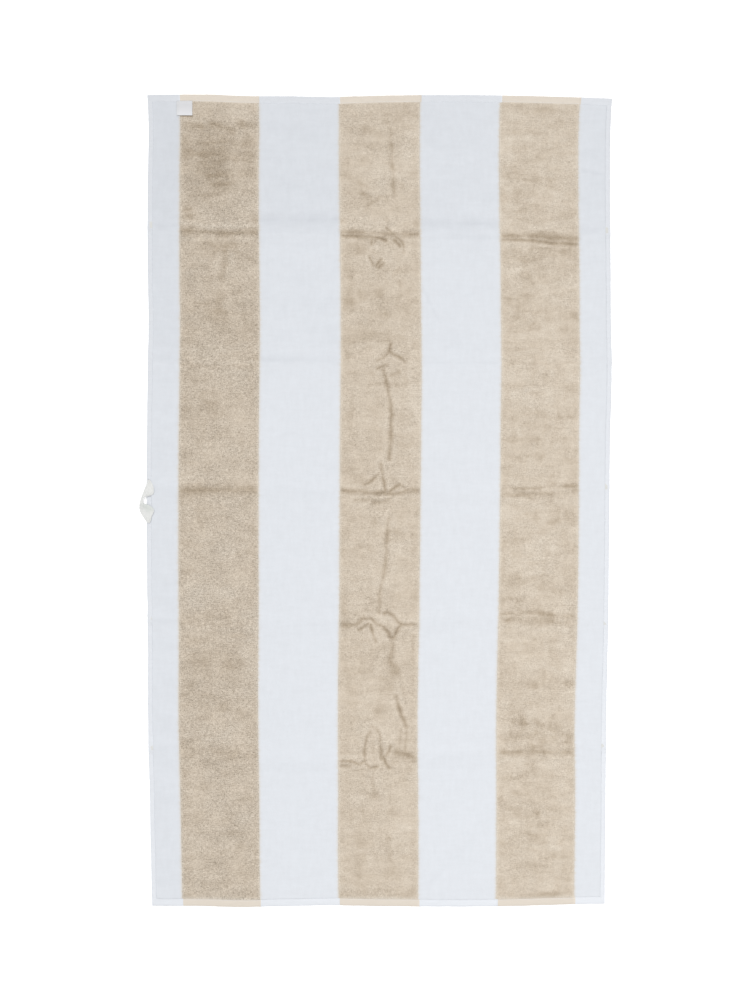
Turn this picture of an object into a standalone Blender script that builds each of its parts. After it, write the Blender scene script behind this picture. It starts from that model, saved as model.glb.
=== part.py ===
"""A bath towel lying flat, with its packing folds, a tape loop on its left edge and a blank care label.

Units are millimetres in the tables and functions, and each mesh is scaled to metres as it is made.
The towel lies on the plane z = 0, face up. X runs across its width and Y along its length, and the
end with the care label is at +Y. The tables are measured from the middle of the cloth. The object's
origin is at the middle of the base of its whole box, which the loop makes a little wider on the left.
"""

import bmesh
import bpy
import numpy as np

MM = 0.001

# The cloth: nominal cut size, thickness over the pile and at the turned hems, and hem widths
WIDTH = 905.0
LENGTH = 1600.0
PILE_THICKNESS = 3.0
HEM_THICKNESS = 2.1
END_HEM = 14.5
SIDE_HEM = 8.0
PILE_STEP = 3.0
ROLLED_EDGE = 1.5

# Shares of the width at which the woven stripes begin and end
STRIPE_EDGES = (0.069, 0.240, 0.416, 0.586, 0.762, 0.930)

# Side edges of the cloth as it lies: y, left x, right x
SIDES = (
    (800, -458.0, 460.0),
    (752, -455.5, 457.0),
    (640, -457.0, 455.5),
    (440, -457.0, 457.0),
    (350, -455.5, 457.5),
    (270, -457.0, 459.0),
    (110, -459.0, 455.5),
    (-110, -459.0, 453.5),
    (-270, -457.0, 451.5),
    (-430, -456.5, 448.0),
    (-590, -453.0, 447.0),
    (-740, -450.0, 445.5),
    (-800, -448.5, 445.0),
)

# Ends of the cloth as it lies: share of the width, top y, bottom y
ENDS = (
    (0.00, 801.5, -799.5),
    (0.14, 802.0, -800.5),
    (0.19, 800.0, -802.0),
    (0.30, 799.0, -800.0),
    (0.40, 797.5, -798.5),
    (0.50, 800.0, -800.0),
    (0.80, 800.0, -800.0),
    (0.88, 798.0, -798.0),
    (0.95, 796.0, -796.0),
    (1.00, 794.0, -795.5),
)

# The five cross folds, each a ridge whose crest wanders: y of the crest at these shares of the width
FOLD_SHARES = (0.0, 0.155, 0.33, 0.45, 0.53, 0.58, 0.67, 0.85, 1.0)
FOLD_CRESTS = (
    (543, 531, 531, 526, 519, 528, 518, 517, 533),
    (280, 269, 276, 281, 281, 283, 273, 273, 277),
    (20, 21, 20, 18, 14, 18, 16, 18, 25),
    (-235, -241, -243, -240, -252, -243, -235, -232, -244),
    (-488, -503, -512, -517, -520, -505, -504, -494, -485),
)
# How far each fold lifts the cloth, and how deep the pile is parted along its crest
FOLD_LIFTS = (3.4, 2.2, 3.2, 2.8, 3.0)
FOLD_PARTINGS = (1.2, 0.6, 1.2, 1.0, 0.9)
# Reach of a fold's ridge towards +Y and towards -Y, and half the width of its parting
FOLD_REACH_UP = 30.0
FOLD_REACH_DOWN = 16.0
PARTING_HALF = 5.0

# The lengthwise crease near the middle: y, x, lift of the cloth, depth of the parting
CREASE = (
    (800, 30, 0.0, 0.0),
    (527, 19, 1.2, 0.5),
    (420, 14, 0.4, 0.2),
    (300, 20, 0.7, 0.5),
    (245, 12, 1.3, 0.9),
    (160, 25, 1.7, 1.2),
    (70, 21, 1.6, 1.2),
    (-25, 18, 1.3, 1.0),
    (-115, 16, 1.1, 0.9),
    (-165, 4, 0.9, 0.6),
    (-230, 4, 1.2, 0.9),
    (-285, 36, 1.5, 1.2),
    (-350, 33, 1.3, 1.0),
    (-400, 41, 1.4, 1.1),
    (-450, 54, 1.5, 1.1),
    (-500, 52, 1.1, 0.8),
    (-600, 45, 0.0, 0.0),
    (-800, 30, 0.0, 0.0),
)
CREASE_REACH = 15.0
CREASE_HALF = 4.5
CREASE_MIDDLE = 28.0
# How far to its left and right the crease draws the mesh lines aside: to the middle stripe's own borders
CREASE_CARRY_LEFT = 104.0
CREASE_CARRY_RIGHT = 49.8

# Where the crease meets each fold the cloth has puffed up: x, y, half length in x and y, lift
PUFFS = (
    (5, 512, 62, 44, 1.6),
    (20, 268, 46, 38, 1.4),
    (10, 20, 58, 46, 1.9),
    (6, -248, 66, 44, 2.0),
    (5, -492, 64, 52, 1.9),
)

# Short creases in those puffs: x and y of one end, x and y of the other, depth
CRINKLES = (
    (30, 525, 48, 494, 1.1),
    (-14, 527, -15, 503, 0.8),
    (-19, 482, 7, 462, 0.8),
    (24, 310, 20, 296, 0.9),
    (20, 296, 52, 276, 1.2),
    (-4, 262, 13, 273, 0.9),
    (24, 249, 42, 255, 0.7),
    (1, 71, 16, 20, 1.1),
    (2, 53, -33, 32, 1.2),
    (22, 16, 41, 33, 1.2),
    (-46, 1, -21, 1, 0.7),
    (-48, -247, -28, -232, 1.1),
    (-38, -255, -21, -243, 0.9),
    (-15, -235, 10, -251, 1.2),
    (10, -251, 24, -271, 1.3),
    (31, -271, 44, -245, 1.3),
    (-17, -245, -5, -279, 1.0),
    (10, -223, 44, -246, 1.1),
    (-15, -446, 2, -460, 0.9),
    (2, -460, 3, -508, 1.0),
    (7, -484, 21, -527, 1.0),
    (-19, -458, -37, -519, 1.0),
    (-25, -504, -6, -521, 0.8),
    (44, -450, 42, -482, 0.8),
)
CRINKLE_HALF = 6.0

# Mesh lines across the cloth: the hem's are offsets from each side, the others nominal x from the left
SIDE_LINES = (0.0, ROLLED_EDGE, SIDE_HEM, SIDE_HEM + PILE_STEP)
PANEL_LINES_X = (62.4, 140.0, 217.2, 297.0)
MIDDLE_STRIPE = (376.5, 530.3)
MIDDLE_STRIPE_CELLS = 24
# Mesh lines along it: the end hem's are offsets from each end, and a fold's are offsets from its crest
END_LINES = (0.0, ROLLED_EDGE, END_HEM, END_HEM + PILE_STEP)
FOLD_LINES = (-16.0, -10.0, -5.0, 0.0, 5.0, 11.0, 20.0, 30.0)
CELLS_BETWEEN_FOLDS = 3
FOLD_CARRY = 85.0

# The hanging loop: thickness of its tape, and the way it lies, from its upper end to its lower one.
# Columns: x, y, z of the outer edge, then x, y, z of the inner edge
TAPE_THICKNESS = 1.2
TAPE_ROWS = (
    (-458.0, 41.5, 3.0, -452.5, 41.5, 3.0),
    (-459.8, 32.0, 3.0, -447.4, 33.0, 4.0),
    (-463.8, 21.5, 2.6, -444.8, 22.5, 4.6),
    (-468.4, 10.5, 1.8, -447.0, 11.4, 5.8),
    (-471.4, 0.0, 1.2, -463.2, 6.0, 13.4),
    (-473.4, -10.5, 1.0, -465.2, -4.2, 15.2),
    (-472.4, -20.5, 1.0, -455.6, -10.2, 11.0),
    (-468.2, -29.0, 1.6, -446.8, -18.4, 6.4),
    (-462.8, -36.5, 2.6, -446.8, -29.6, 4.6),
    (-458.0, -43.5, 3.0, -452.5, -43.5, 3.0),
)
TAPE_SECTIONS = 36
TAPE_POINTS_ACROSS = 5
TAPE_CURL = 0.8
# Height of the tape's middle over what it lies on, roundness of its way onto it, and its slope past the edge
TAPE_REST = 0.75
TAPE_SETTLE = 1.0
TAPE_FALL = 7.0

# The care label: its corner on the hem's inner line, its size, and its lie on the pile.
# Columns of the lie: distance below the hem's inner line, height of the label's underside
LABEL_X = -400.0
LABEL_WIDTH = 31.0
LABEL_THICKNESS = 0.8
LABEL_LIE = (
    (-1.6, 2.45),
    (0.0, 2.5),
    (3.0, 3.4),
    (8.0, 3.5),
    (15.0, 3.7),
    (21.0, 4.3),
    (25.0, 5.1),
)
LABEL_LEAN = 0.9
LABEL_POINTS_ACROSS = 5

# Clear space between two pieces that rest on each other
GAP = 0.3

# Middle of the whole object's box in the tables' coordinates
BOX_MIDDLE = (-7.166, 0.368)

WHITE = (0.80, 0.82, 0.85, 1.0)
SAND = (0.58, 0.49, 0.38, 1.0)
TAPE_WHITE = (0.82, 0.82, 0.80, 1.0)
LABEL_WHITE = (0.86, 0.87, 0.88, 1.0)


def clear_scene():
    for old in list(bpy.data.objects):
        bpy.data.objects.remove(old, do_unlink=True)


def material(name, colour, roughness):
    """A cloth or tape finish: rough, with no metal in it."""
    made = bpy.data.materials.new(name)
    made.use_nodes = True
    shader = made.node_tree.nodes["Principled BSDF"]
    shader.inputs["Base Color"].default_value = colour
    shader.inputs["Roughness"].default_value = roughness
    shader.inputs["Metallic"].default_value = 0.0
    made.diffuse_color = colour
    return made


def curve(at, knots, values):
    """Smooth curve through the knots: cubic spans whose slopes are means of the chords beside each knot."""
    knots = np.asarray(knots, float)
    values = np.asarray(values, float)
    if knots[0] > knots[-1]:
        knots = knots[::-1]
        values = values[::-1]
    slopes = np.gradient(values, knots)
    span = np.clip(np.searchsorted(knots, at) - 1, 0, len(knots) - 2)
    step = knots[span + 1] - knots[span]
    t = np.clip((at - knots[span]) / step, 0.0, 1.0)
    from_left = (2 * t**3 - 3 * t**2 + 1) * values[span] + (t**3 - 2 * t**2 + t) * step * slopes[span]
    from_right = (3 * t**2 - 2 * t**3) * values[span + 1] + (t**3 - t**2) * step * slopes[span + 1]
    return from_left + from_right


def column(table, index):
    return [row[index] for row in table]


def bump(r):
    """A smooth hump of height 1 at r = 0 that comes down to exactly 0 at r = 1 and beyond."""
    return 0.5 + 0.5 * np.cos(np.pi * np.minimum(np.abs(r), 1.0))


def end_y(share, end):
    """y of the cloth's top end (end 1) or bottom end (end 2) at a share of the width."""
    return curve(share, column(ENDS, 0), column(ENDS, end))


def side_x(y, side):
    """x of the cloth's left side (side 1) or right side (side 2) at y."""
    return curve(y, column(SIDES, 0), column(SIDES, side))


def crest_y(fold, share):
    return curve(share, FOLD_SHARES, FOLD_CRESTS[fold])


def crease_column(y, index):
    return curve(y, column(CREASE, 0), column(CREASE, index))


def distance_to_stroke(x, y, x0, y0, x1, y1):
    """Distance from each point to the straight stroke between two ends."""
    along = ((x - x0) * (x1 - x0) + (y - y0) * (y1 - y0)) / ((x1 - x0) ** 2 + (y1 - y0) ** 2)
    along = np.clip(along, 0.0, 1.0)
    return np.hypot(x - x0 - along * (x1 - x0), y - y0 - along * (y1 - y0))


def lie_down(nominal_x, nominal_y):
    """Places of the mesh points on the cloth as it lies, with mesh lines led along the folds and the crease.

    nominal_x runs from 0 to WIDTH and nominal_y from 0 to LENGTH. Each fold and the crease draw the
    lines near them aside, fully at the line itself and less and less away from it.
    """
    share = nominal_x / WIDTH
    bottom = end_y(share, 2)
    top = end_y(share, 1)
    y = bottom + (top - bottom) * nominal_y / LENGTH
    for fold, crests in enumerate(FOLD_CRESTS):
        middle = np.mean(crests)
        y = y + (crest_y(fold, share) - middle) * bump((nominal_y - LENGTH / 2 - middle) / FOLD_CARRY)
    left = side_x(y, 1)
    right = side_x(y, 2)
    x = left + (right - left) * share
    aside = crease_column(y, 1) - CREASE_MIDDLE
    away = nominal_x - WIDTH / 2 - CREASE_MIDDLE
    carry = np.where(away > 0, CREASE_CARRY_RIGHT, CREASE_CARRY_LEFT)
    x = x + aside * bump(away / carry)
    return x, y


def lift_at(share, x, y):
    """Height of the cloth's underside: its folds, its crease and its puffs, joined smoothly."""
    lifts = []
    for fold, height in enumerate(FOLD_LIFTS):
        away = y - crest_y(fold, share)
        reach = np.where(away > 0, FOLD_REACH_UP, FOLD_REACH_DOWN)
        lifts.append(height * bump(away / reach))
    away = (x - crease_column(y, 1)) / CREASE_REACH
    lifts.append(np.maximum(crease_column(y, 2), 0.0) * bump(away))
    for middle_x, middle_y, half_x, half_y, height in PUFFS:
        lifts.append(height * bump(np.hypot((x - middle_x) / half_x, (y - middle_y) / half_y)))
    return sum(lift**3 for lift in lifts) ** (1 / 3)


def parting_at(share, x, y):
    """How far the top sinks where the pile is parted along the folds, the crease and the crinkles."""
    partings = []
    for fold, depth in enumerate(FOLD_PARTINGS):
        partings.append(depth * bump((y - crest_y(fold, share)) / PARTING_HALF))
    away = (x - crease_column(y, 1)) / CREASE_HALF
    partings.append(np.maximum(crease_column(y, 3), 0.0) * bump(away))
    for x0, y0, x1, y1, depth in CRINKLES:
        partings.append(depth * bump(distance_to_stroke(x, y, x0, y0, x1, y1) / CRINKLE_HALF))
    return np.max(partings, axis=0)


def thickness_at(from_side, from_end):
    """Thickness of the cloth from its nominal distances to the nearest side and end."""
    sides = np.interp(from_side, (SIDE_HEM, SIDE_HEM + PILE_STEP), (0.0, 1.0))
    ends = np.interp(from_end, (END_HEM, END_HEM + PILE_STEP), (0.0, 1.0))
    return HEM_THICKNESS + (PILE_THICKNESS - HEM_THICKNESS) * np.minimum(sides, ends)


def rolled_at(from_side, from_end):
    """How far top and underside draw together at the very edge, where the hem is turned over."""
    nearest = np.minimum(from_side, from_end)
    return 0.28 * HEM_THICKNESS * np.clip(1.0 - nearest / ROLLED_EDGE, 0.0, 1.0)


def lines_across():
    """Nominal x of the mesh lines from the left side to the right one."""
    left = [*SIDE_LINES, *PANEL_LINES_X]
    middle = np.linspace(*MIDDLE_STRIPE, MIDDLE_STRIPE_CELLS + 1)
    right = [WIDTH - x for x in reversed(left)]
    return np.array([*left, *middle, *right])


def lines_along():
    """Nominal y of the mesh lines from the bottom end to the top one."""
    near_ends = [*END_LINES]
    lines = list(near_ends)
    for crests in reversed(FOLD_CRESTS):
        middle = np.mean(crests) + LENGTH / 2
        first = middle + FOLD_LINES[0]
        lines.extend(np.linspace(lines[-1], first, CELLS_BETWEEN_FOLDS + 1)[1:-1])
        lines.extend(middle + offset for offset in FOLD_LINES)
    last = LENGTH - near_ends[-1]
    lines.extend(np.linspace(lines[-1], last, CELLS_BETWEEN_FOLDS + 1)[1:-1])
    lines.extend(LENGTH - y for y in reversed(near_ends))
    return np.array(lines)


def object_from(name, points, faces, slots, face_slots=None):
    """A named object from points in the tables' millimetres, moved to the object's own origin."""
    moved = (np.asarray(points, float) - (*BOX_MIDDLE, 0.0)) * MM
    mesh = bpy.data.meshes.new(name)
    mesh.from_pydata(moved.tolist(), [], faces)
    for slot in slots:
        mesh.materials.append(slot)
    if face_slots is not None:
        mesh.polygons.foreach_set("material_index", face_slots)
    work = bmesh.new()
    work.from_mesh(mesh)
    bmesh.ops.recalc_face_normals(work, faces=work.faces)
    work.to_mesh(mesh)
    work.free()
    made = bpy.data.objects.new(name, mesh)
    bpy.context.collection.objects.link(made)
    return made


def slab_faces(rows, columns):
    """Faces of a closed slab whose top and bottom are grids: top points first, then the bottom ones."""
    top = np.arange(rows * columns).reshape(rows, columns)
    under = top + rows * columns

    def quads(grid):
        corners = (grid[:-1, :-1], grid[:-1, 1:], grid[1:, 1:], grid[1:, :-1])
        return np.stack(corners, axis=-1).reshape(-1, 4)

    rim = np.concatenate([top[0, :-1], top[:-1, -1], top[-1, :0:-1], top[:0:-1, 0]])
    rim_under = rim + rows * columns
    walls = np.stack([rim, rim_under, np.roll(rim_under, -1), np.roll(rim, -1)], axis=-1)
    return np.concatenate([quads(top), quads(under)[:, ::-1], walls]).tolist()


def build_towel(white, sand):
    """The cloth: one slab whose underside is flat on z = 0 apart from the folds, with thinner hems."""
    across, along = np.meshgrid(lines_across(), lines_along())
    share = across / WIDTH
    x, y = lie_down(across, along)
    from_side = np.minimum(across, WIDTH - across)
    from_end = np.minimum(along, LENGTH - along)
    rolled = rolled_at(from_side, from_end)
    under = lift_at(share, x, y)
    top = under + thickness_at(from_side, from_end) - parting_at(share, x, y)
    points = np.concatenate(
        [
            np.stack([x, y, top - rolled], axis=-1).reshape(-1, 3),
            np.stack([x, y, under + rolled], axis=-1).reshape(-1, 3),
        ]
    )
    faces = slab_faces(*across.shape)
    nominal = np.concatenate([share.ravel(), share.ravel()])
    middle_share = nominal[np.array(faces)].mean(axis=1)
    is_sand = np.searchsorted(STRIPE_EDGES, middle_share) % 2
    towel = object_from("towel", points, faces, (white, sand), is_sand)
    towel.data.shade_smooth()
    towel.data.set_sharp_from_angle(angle=np.radians(40))
    return towel


def cloth_top(x, y):
    """Height of the cloth's top near its left side, coming down smoothly to 0 past its edge."""
    from_side = x - side_x(y, 1)
    share = np.clip(from_side / WIDTH, 0.0, 1.0)
    height = lift_at(share, x, y) + thickness_at(from_side, END_HEM + PILE_STEP)
    return height * bump(np.minimum(from_side, 0.0) / TAPE_FALL)


def build_loop(tape):
    """The loop: a tape between an outer and an inner edge, curled a little and twisted up on its side."""
    rows = np.array(TAPE_ROWS)
    knots = np.linspace(0.0, 1.0, len(rows))
    at = np.linspace(0.0, 1.0, TAPE_SECTIONS)
    edges = np.stack([curve(at, knots, rows[:, k]) for k in range(6)], axis=-1)
    outer = edges[:, None, :3]
    inner = edges[:, None, 3:]
    across = np.linspace(0.0, 1.0, TAPE_POINTS_ACROSS)[None, :, None]
    middle = outer + (inner - outer) * across
    along = np.gradient(middle, axis=0)
    sideways = np.gradient(middle, axis=1)
    face_up = np.cross(sideways, -along)
    face_up /= np.linalg.norm(face_up, axis=-1, keepdims=True)
    curl = TAPE_CURL * np.sin(np.pi * at)[:, None, None] * np.sin(np.pi * across)
    middle = middle - face_up * curl
    rest = cloth_top(middle[..., 0], middle[..., 1]) + GAP + TAPE_REST
    over = middle[..., 2] - rest
    middle[..., 2] = rest + 0.5 * (over + np.hypot(over, TAPE_SETTLE))
    half = face_up * TAPE_THICKNESS / 2
    points = np.concatenate([(middle + half).reshape(-1, 3), (middle - half).reshape(-1, 3)])
    loop = object_from("hanging_loop", points, slab_faces(TAPE_SECTIONS, TAPE_POINTS_ACROSS), (tape,))
    loop.data.shade_smooth()
    loop.data.set_sharp_from_angle(angle=np.radians(50))
    return loop


def build_label(satin):
    """The label: a thin flap that leaves the hem's seam, steps up onto the pile and curls up at its free end."""
    across = np.linspace(0.0, 1.0, LABEL_POINTS_ACROSS)[None, :]
    below = np.array(column(LABEL_LIE, 0))[:, None]
    rest = np.array(column(LABEL_LIE, 1))[:, None]
    x = LABEL_X + LABEL_WIDTH * across + 0.0 * below
    seam = end_y((x + WIDTH / 2) / WIDTH, 1) - END_HEM
    y = seam - below
    free = np.clip(below / LABEL_LIE[-1][0], 0.0, 1.0)
    under = rest + LABEL_LEAN * across * free**2
    points = np.concatenate(
        [
            np.stack([x, y, under + LABEL_THICKNESS], axis=-1).reshape(-1, 3),
            np.stack([x, y, under], axis=-1).reshape(-1, 3),
        ]
    )
    return object_from("care_label", points, slab_faces(*x.shape), (satin,))


def main():
    clear_scene()
    white = material("white_terry", WHITE, 0.95)
    sand = material("sand_terry", SAND, 0.95)
    tape = material("white_tape", TAPE_WHITE, 0.85)
    satin = material("label_satin", LABEL_WHITE, 0.55)
    build_towel(white, sand)
    build_loop(tape)
    build_label(satin)


main()
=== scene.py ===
"""A striped terry bath towel spread out flat, seen from straight above.

Shapes are worked out in millimetres from the middle of the cloth, as in the tables below, and each
mesh is moved to the object's own origin and scaled to metres as it is made. X runs across the
towel and Y along it, with the care label at the +Y end. The towel is a ground cloth with its turned
hems, seven bands of pile on it, sewing thread, a tape loop and a blank label.
"""

import bpy
import numpy as np
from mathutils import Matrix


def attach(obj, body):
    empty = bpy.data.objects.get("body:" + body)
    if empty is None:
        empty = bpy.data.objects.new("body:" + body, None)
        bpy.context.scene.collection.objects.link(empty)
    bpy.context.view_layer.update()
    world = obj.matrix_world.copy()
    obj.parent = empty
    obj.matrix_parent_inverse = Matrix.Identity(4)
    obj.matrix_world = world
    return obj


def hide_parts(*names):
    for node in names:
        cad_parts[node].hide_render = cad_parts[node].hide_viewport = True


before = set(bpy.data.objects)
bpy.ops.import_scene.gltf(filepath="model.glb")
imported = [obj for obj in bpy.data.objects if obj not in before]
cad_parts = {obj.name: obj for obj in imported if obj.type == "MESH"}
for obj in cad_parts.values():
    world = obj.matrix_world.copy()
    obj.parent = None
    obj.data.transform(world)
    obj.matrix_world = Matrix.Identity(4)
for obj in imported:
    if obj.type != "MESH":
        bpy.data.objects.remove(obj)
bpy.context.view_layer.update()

MM = 0.001
BOX_MIDDLE = (-7.166, 0.368)

# The cloth: cut size, thicknesses, hems, and the shares of the width at which the stripes change
WIDTH = 905.0
LENGTH = 1600.0
PILE_THICKNESS = 3.0
HEM_THICKNESS = 2.1
GROUND_THICKNESS = 0.9
END_HEM = 14.5
SIDE_HEM = 9.6
STRIPE_EDGES = (0.069, 0.240, 0.416, 0.586, 0.762, 0.930)

# Side edges of the cloth as it lies: y, left x, right x
LEFT = 1
RIGHT = 2
SIDES = (
    (800, -458.0, 460.0),
    (752, -455.5, 457.0),
    (640, -457.0, 455.5),
    (440, -457.0, 457.0),
    (350, -455.5, 457.5),
    (270, -457.0, 459.0),
    (110, -459.0, 455.5),
    (-110, -459.0, 453.5),
    (-270, -457.0, 451.5),
    (-430, -456.5, 448.0),
    (-590, -453.0, 447.0),
    (-740, -450.0, 445.5),
    (-800, -448.5, 445.0),
)

# Ends of the cloth as it lies: share of the width, top y, bottom y
TOP = 1
BOTTOM = 2
ENDS = (
    (0.00, 801.5, -799.5),
    (0.14, 802.0, -800.5),
    (0.19, 800.0, -802.0),
    (0.30, 799.0, -800.0),
    (0.40, 797.5, -798.5),
    (0.50, 800.0, -800.0),
    (0.80, 800.0, -800.0),
    (0.88, 798.0, -798.0),
    (0.95, 796.0, -796.0),
    (1.00, 794.0, -795.5),
)

# How far each stripe border wavers to the right of its share of the width: y, then the six borders
DRIFT = (
    (800, -0.4, -1.4, -3.2, 0.2, -2.0, 0.2),
    (716, -0.3, -1.2, -2.6, 0.5, -1.6, 0.2),
    (588, 0.6, -0.4, -0.4, 2.3, -0.5, 0.7),
    (459, 0.3, 0.4, 0.5, 2.8, 0.8, 1.4),
    (331, -0.2, 0.0, 0.3, 2.8, 0.9, 1.1),
    (202, 0.7, 0.4, 0.8, 4.0, 1.1, 0.9),
    (74, 0.6, 1.1, 1.7, 5.0, 2.5, 2.5),
    (-54, 0.4, 1.2, 1.6, 4.3, 1.9, 2.8),
    (-183, -0.3, 0.9, 0.9, 3.1, 0.8, 2.5),
    (-311, -1.0, -0.4, -0.6, 1.6, -0.8, 1.0),
    (-439, -1.5, -0.2, -0.8, 1.2, -1.0, 0.3),
    (-568, -1.2, -0.4, -1.6, 1.5, -1.0, 1.7),
    (-696, -0.9, -1.1, -3.0, 2.0, -0.8, 1.8),
    (-800, -1.2, -1.6, -2.8, 0.8, -1.6, 1.4),
)

# The five cross folds: y of each crest at these shares of the width, and its lift
FOLD_SHARES = (0.0, 0.155, 0.33, 0.45, 0.53, 0.58, 0.67, 0.85, 1.0)
FOLD_CRESTS = (
    (543, 531, 531, 526, 519, 528, 518, 517, 533),
    (280, 269, 276, 281, 281, 283, 273, 273, 277),
    (20, 21, 20, 18, 14, 18, 16, 18, 25),
    (-235, -241, -243, -240, -252, -243, -235, -232, -244),
    (-488, -503, -512, -517, -520, -505, -504, -494, -485),
)
FOLD_LIFTS = (3.4, 2.2, 3.2, 2.8, 3.0)
FOLD_REACH_UP = 30.0
FOLD_REACH_DOWN = 16.0

# Lines along the folds where the pile is pressed apart, sunk in the mesh and darkened with painted shade:
# fold, offset above its crest at the left and right side of the towel, half width, then the strength in
# each of the three sand stripes. Where the strength is negative the pile stands up and is painted paler,
# a painted highlight
FOLD_MARKS = (
    (0, -1.5, -1.5, 9.0, (0.58, 0.00, 0.00)),
    (0, 12, 12, 7.5, (-0.55, 0.00, 0.00)),
    (0, 14, 14, 9.0, (0.00, 0.00, 0.10)),
    (0, 18, 36, 11.0, (0.00, 0.00, -0.10)),
    (0, 6, 6, 8.0, (0.00, 0.00, 0.16)),
    (1, -1, -1, 4.5, (0.00, 0.06, 0.10)),
    (1, 4, 4, 6.0, (-0.40, 0.00, 0.00)),
    (1, -6, -6, 5.0, (0.12, 0.00, -0.25)),
    (1, 36, 36, 12.0, (0.00, 0.13, 0.10)),
    (2, 0, 0, 12.5, (0.52, 0.00, 0.00)),
    (2, 0, 0, 6.5, (0.00, 0.48, 0.00)),
    (2, 24, 24, 9.0, (-0.35, 0.00, 0.00)),
    (2, 9, 7.5, 6.5, (0.00, 0.00, 0.42)),
    (2, -4.5, -4.5, 12.0, (0.00, 0.00, 0.38)),
    (3, 0, 0, 6.5, (0.08, 0.14, 0.00)),
    (3, 24, 24, 7.0, (0.06, 0.00, 0.00)),
    (3, -12, -12, 8.0, (-0.30, 0.00, 0.00)),
    (3, 3, 9.5, 6.0, (0.00, 0.00, 0.30)),
    (3, -10, -5, 8.0, (0.00, 0.00, 0.38)),
    (4, 2, 2, 9.0, (0.00, 0.12, 0.00)),
    (4, 9, 3, 10.0, (0.16, 0.00, 0.00)),
    (4, 17, 25, 9.0, (0.08, 0.00, 0.10)),
)
MARK_DEPTH = 1.3
# Pressed lines are worn by chance about a mean. The pile swells beside them: how high, and how far off
# and how wide in half widths of the line, and how much paler a swelling is painted, a painted highlight
WORN_MEAN = 0.88
SWELL_RISE = 0.2
SWELL_AWAY = 1.7
SWELL_HALF = 1.1
SWELL_PAINTED_LIGHT = 1.5

# The lengthwise crease near the middle: y, x, lift of the cloth
CREASE_X = 1
CREASE_LIFT = 2
CREASE = (
    (800, 30, 0.0),
    (527, 19, 1.2),
    (420, 14, 0.4),
    (300, 20, 0.7),
    (245, 12, 1.3),
    (160, 25, 1.7),
    (70, 21, 1.6),
    (-25, 18, 1.3),
    (-115, 16, 1.1),
    (-165, 4, 0.9),
    (-230, 4, 1.2),
    (-285, 36, 1.5),
    (-350, 33, 1.3),
    (-400, 41, 1.4),
    (-450, 54, 1.5),
    (-500, 52, 1.1),
    (-600, 45, 0.0),
    (-800, 30, 0.0),
)
CREASE_REACH = 15.0

# Where the crease meets each fold the cloth has puffed up: x, y, half length in x and y, lift
PUFFS = (
    (5, 512, 62, 44, 1.6),
    (20, 268, 46, 38, 1.4),
    (10, 20, 58, 46, 1.9),
    (6, -248, 66, 44, 2.0),
    (5, -492, 64, 52, 1.9),
)
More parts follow.
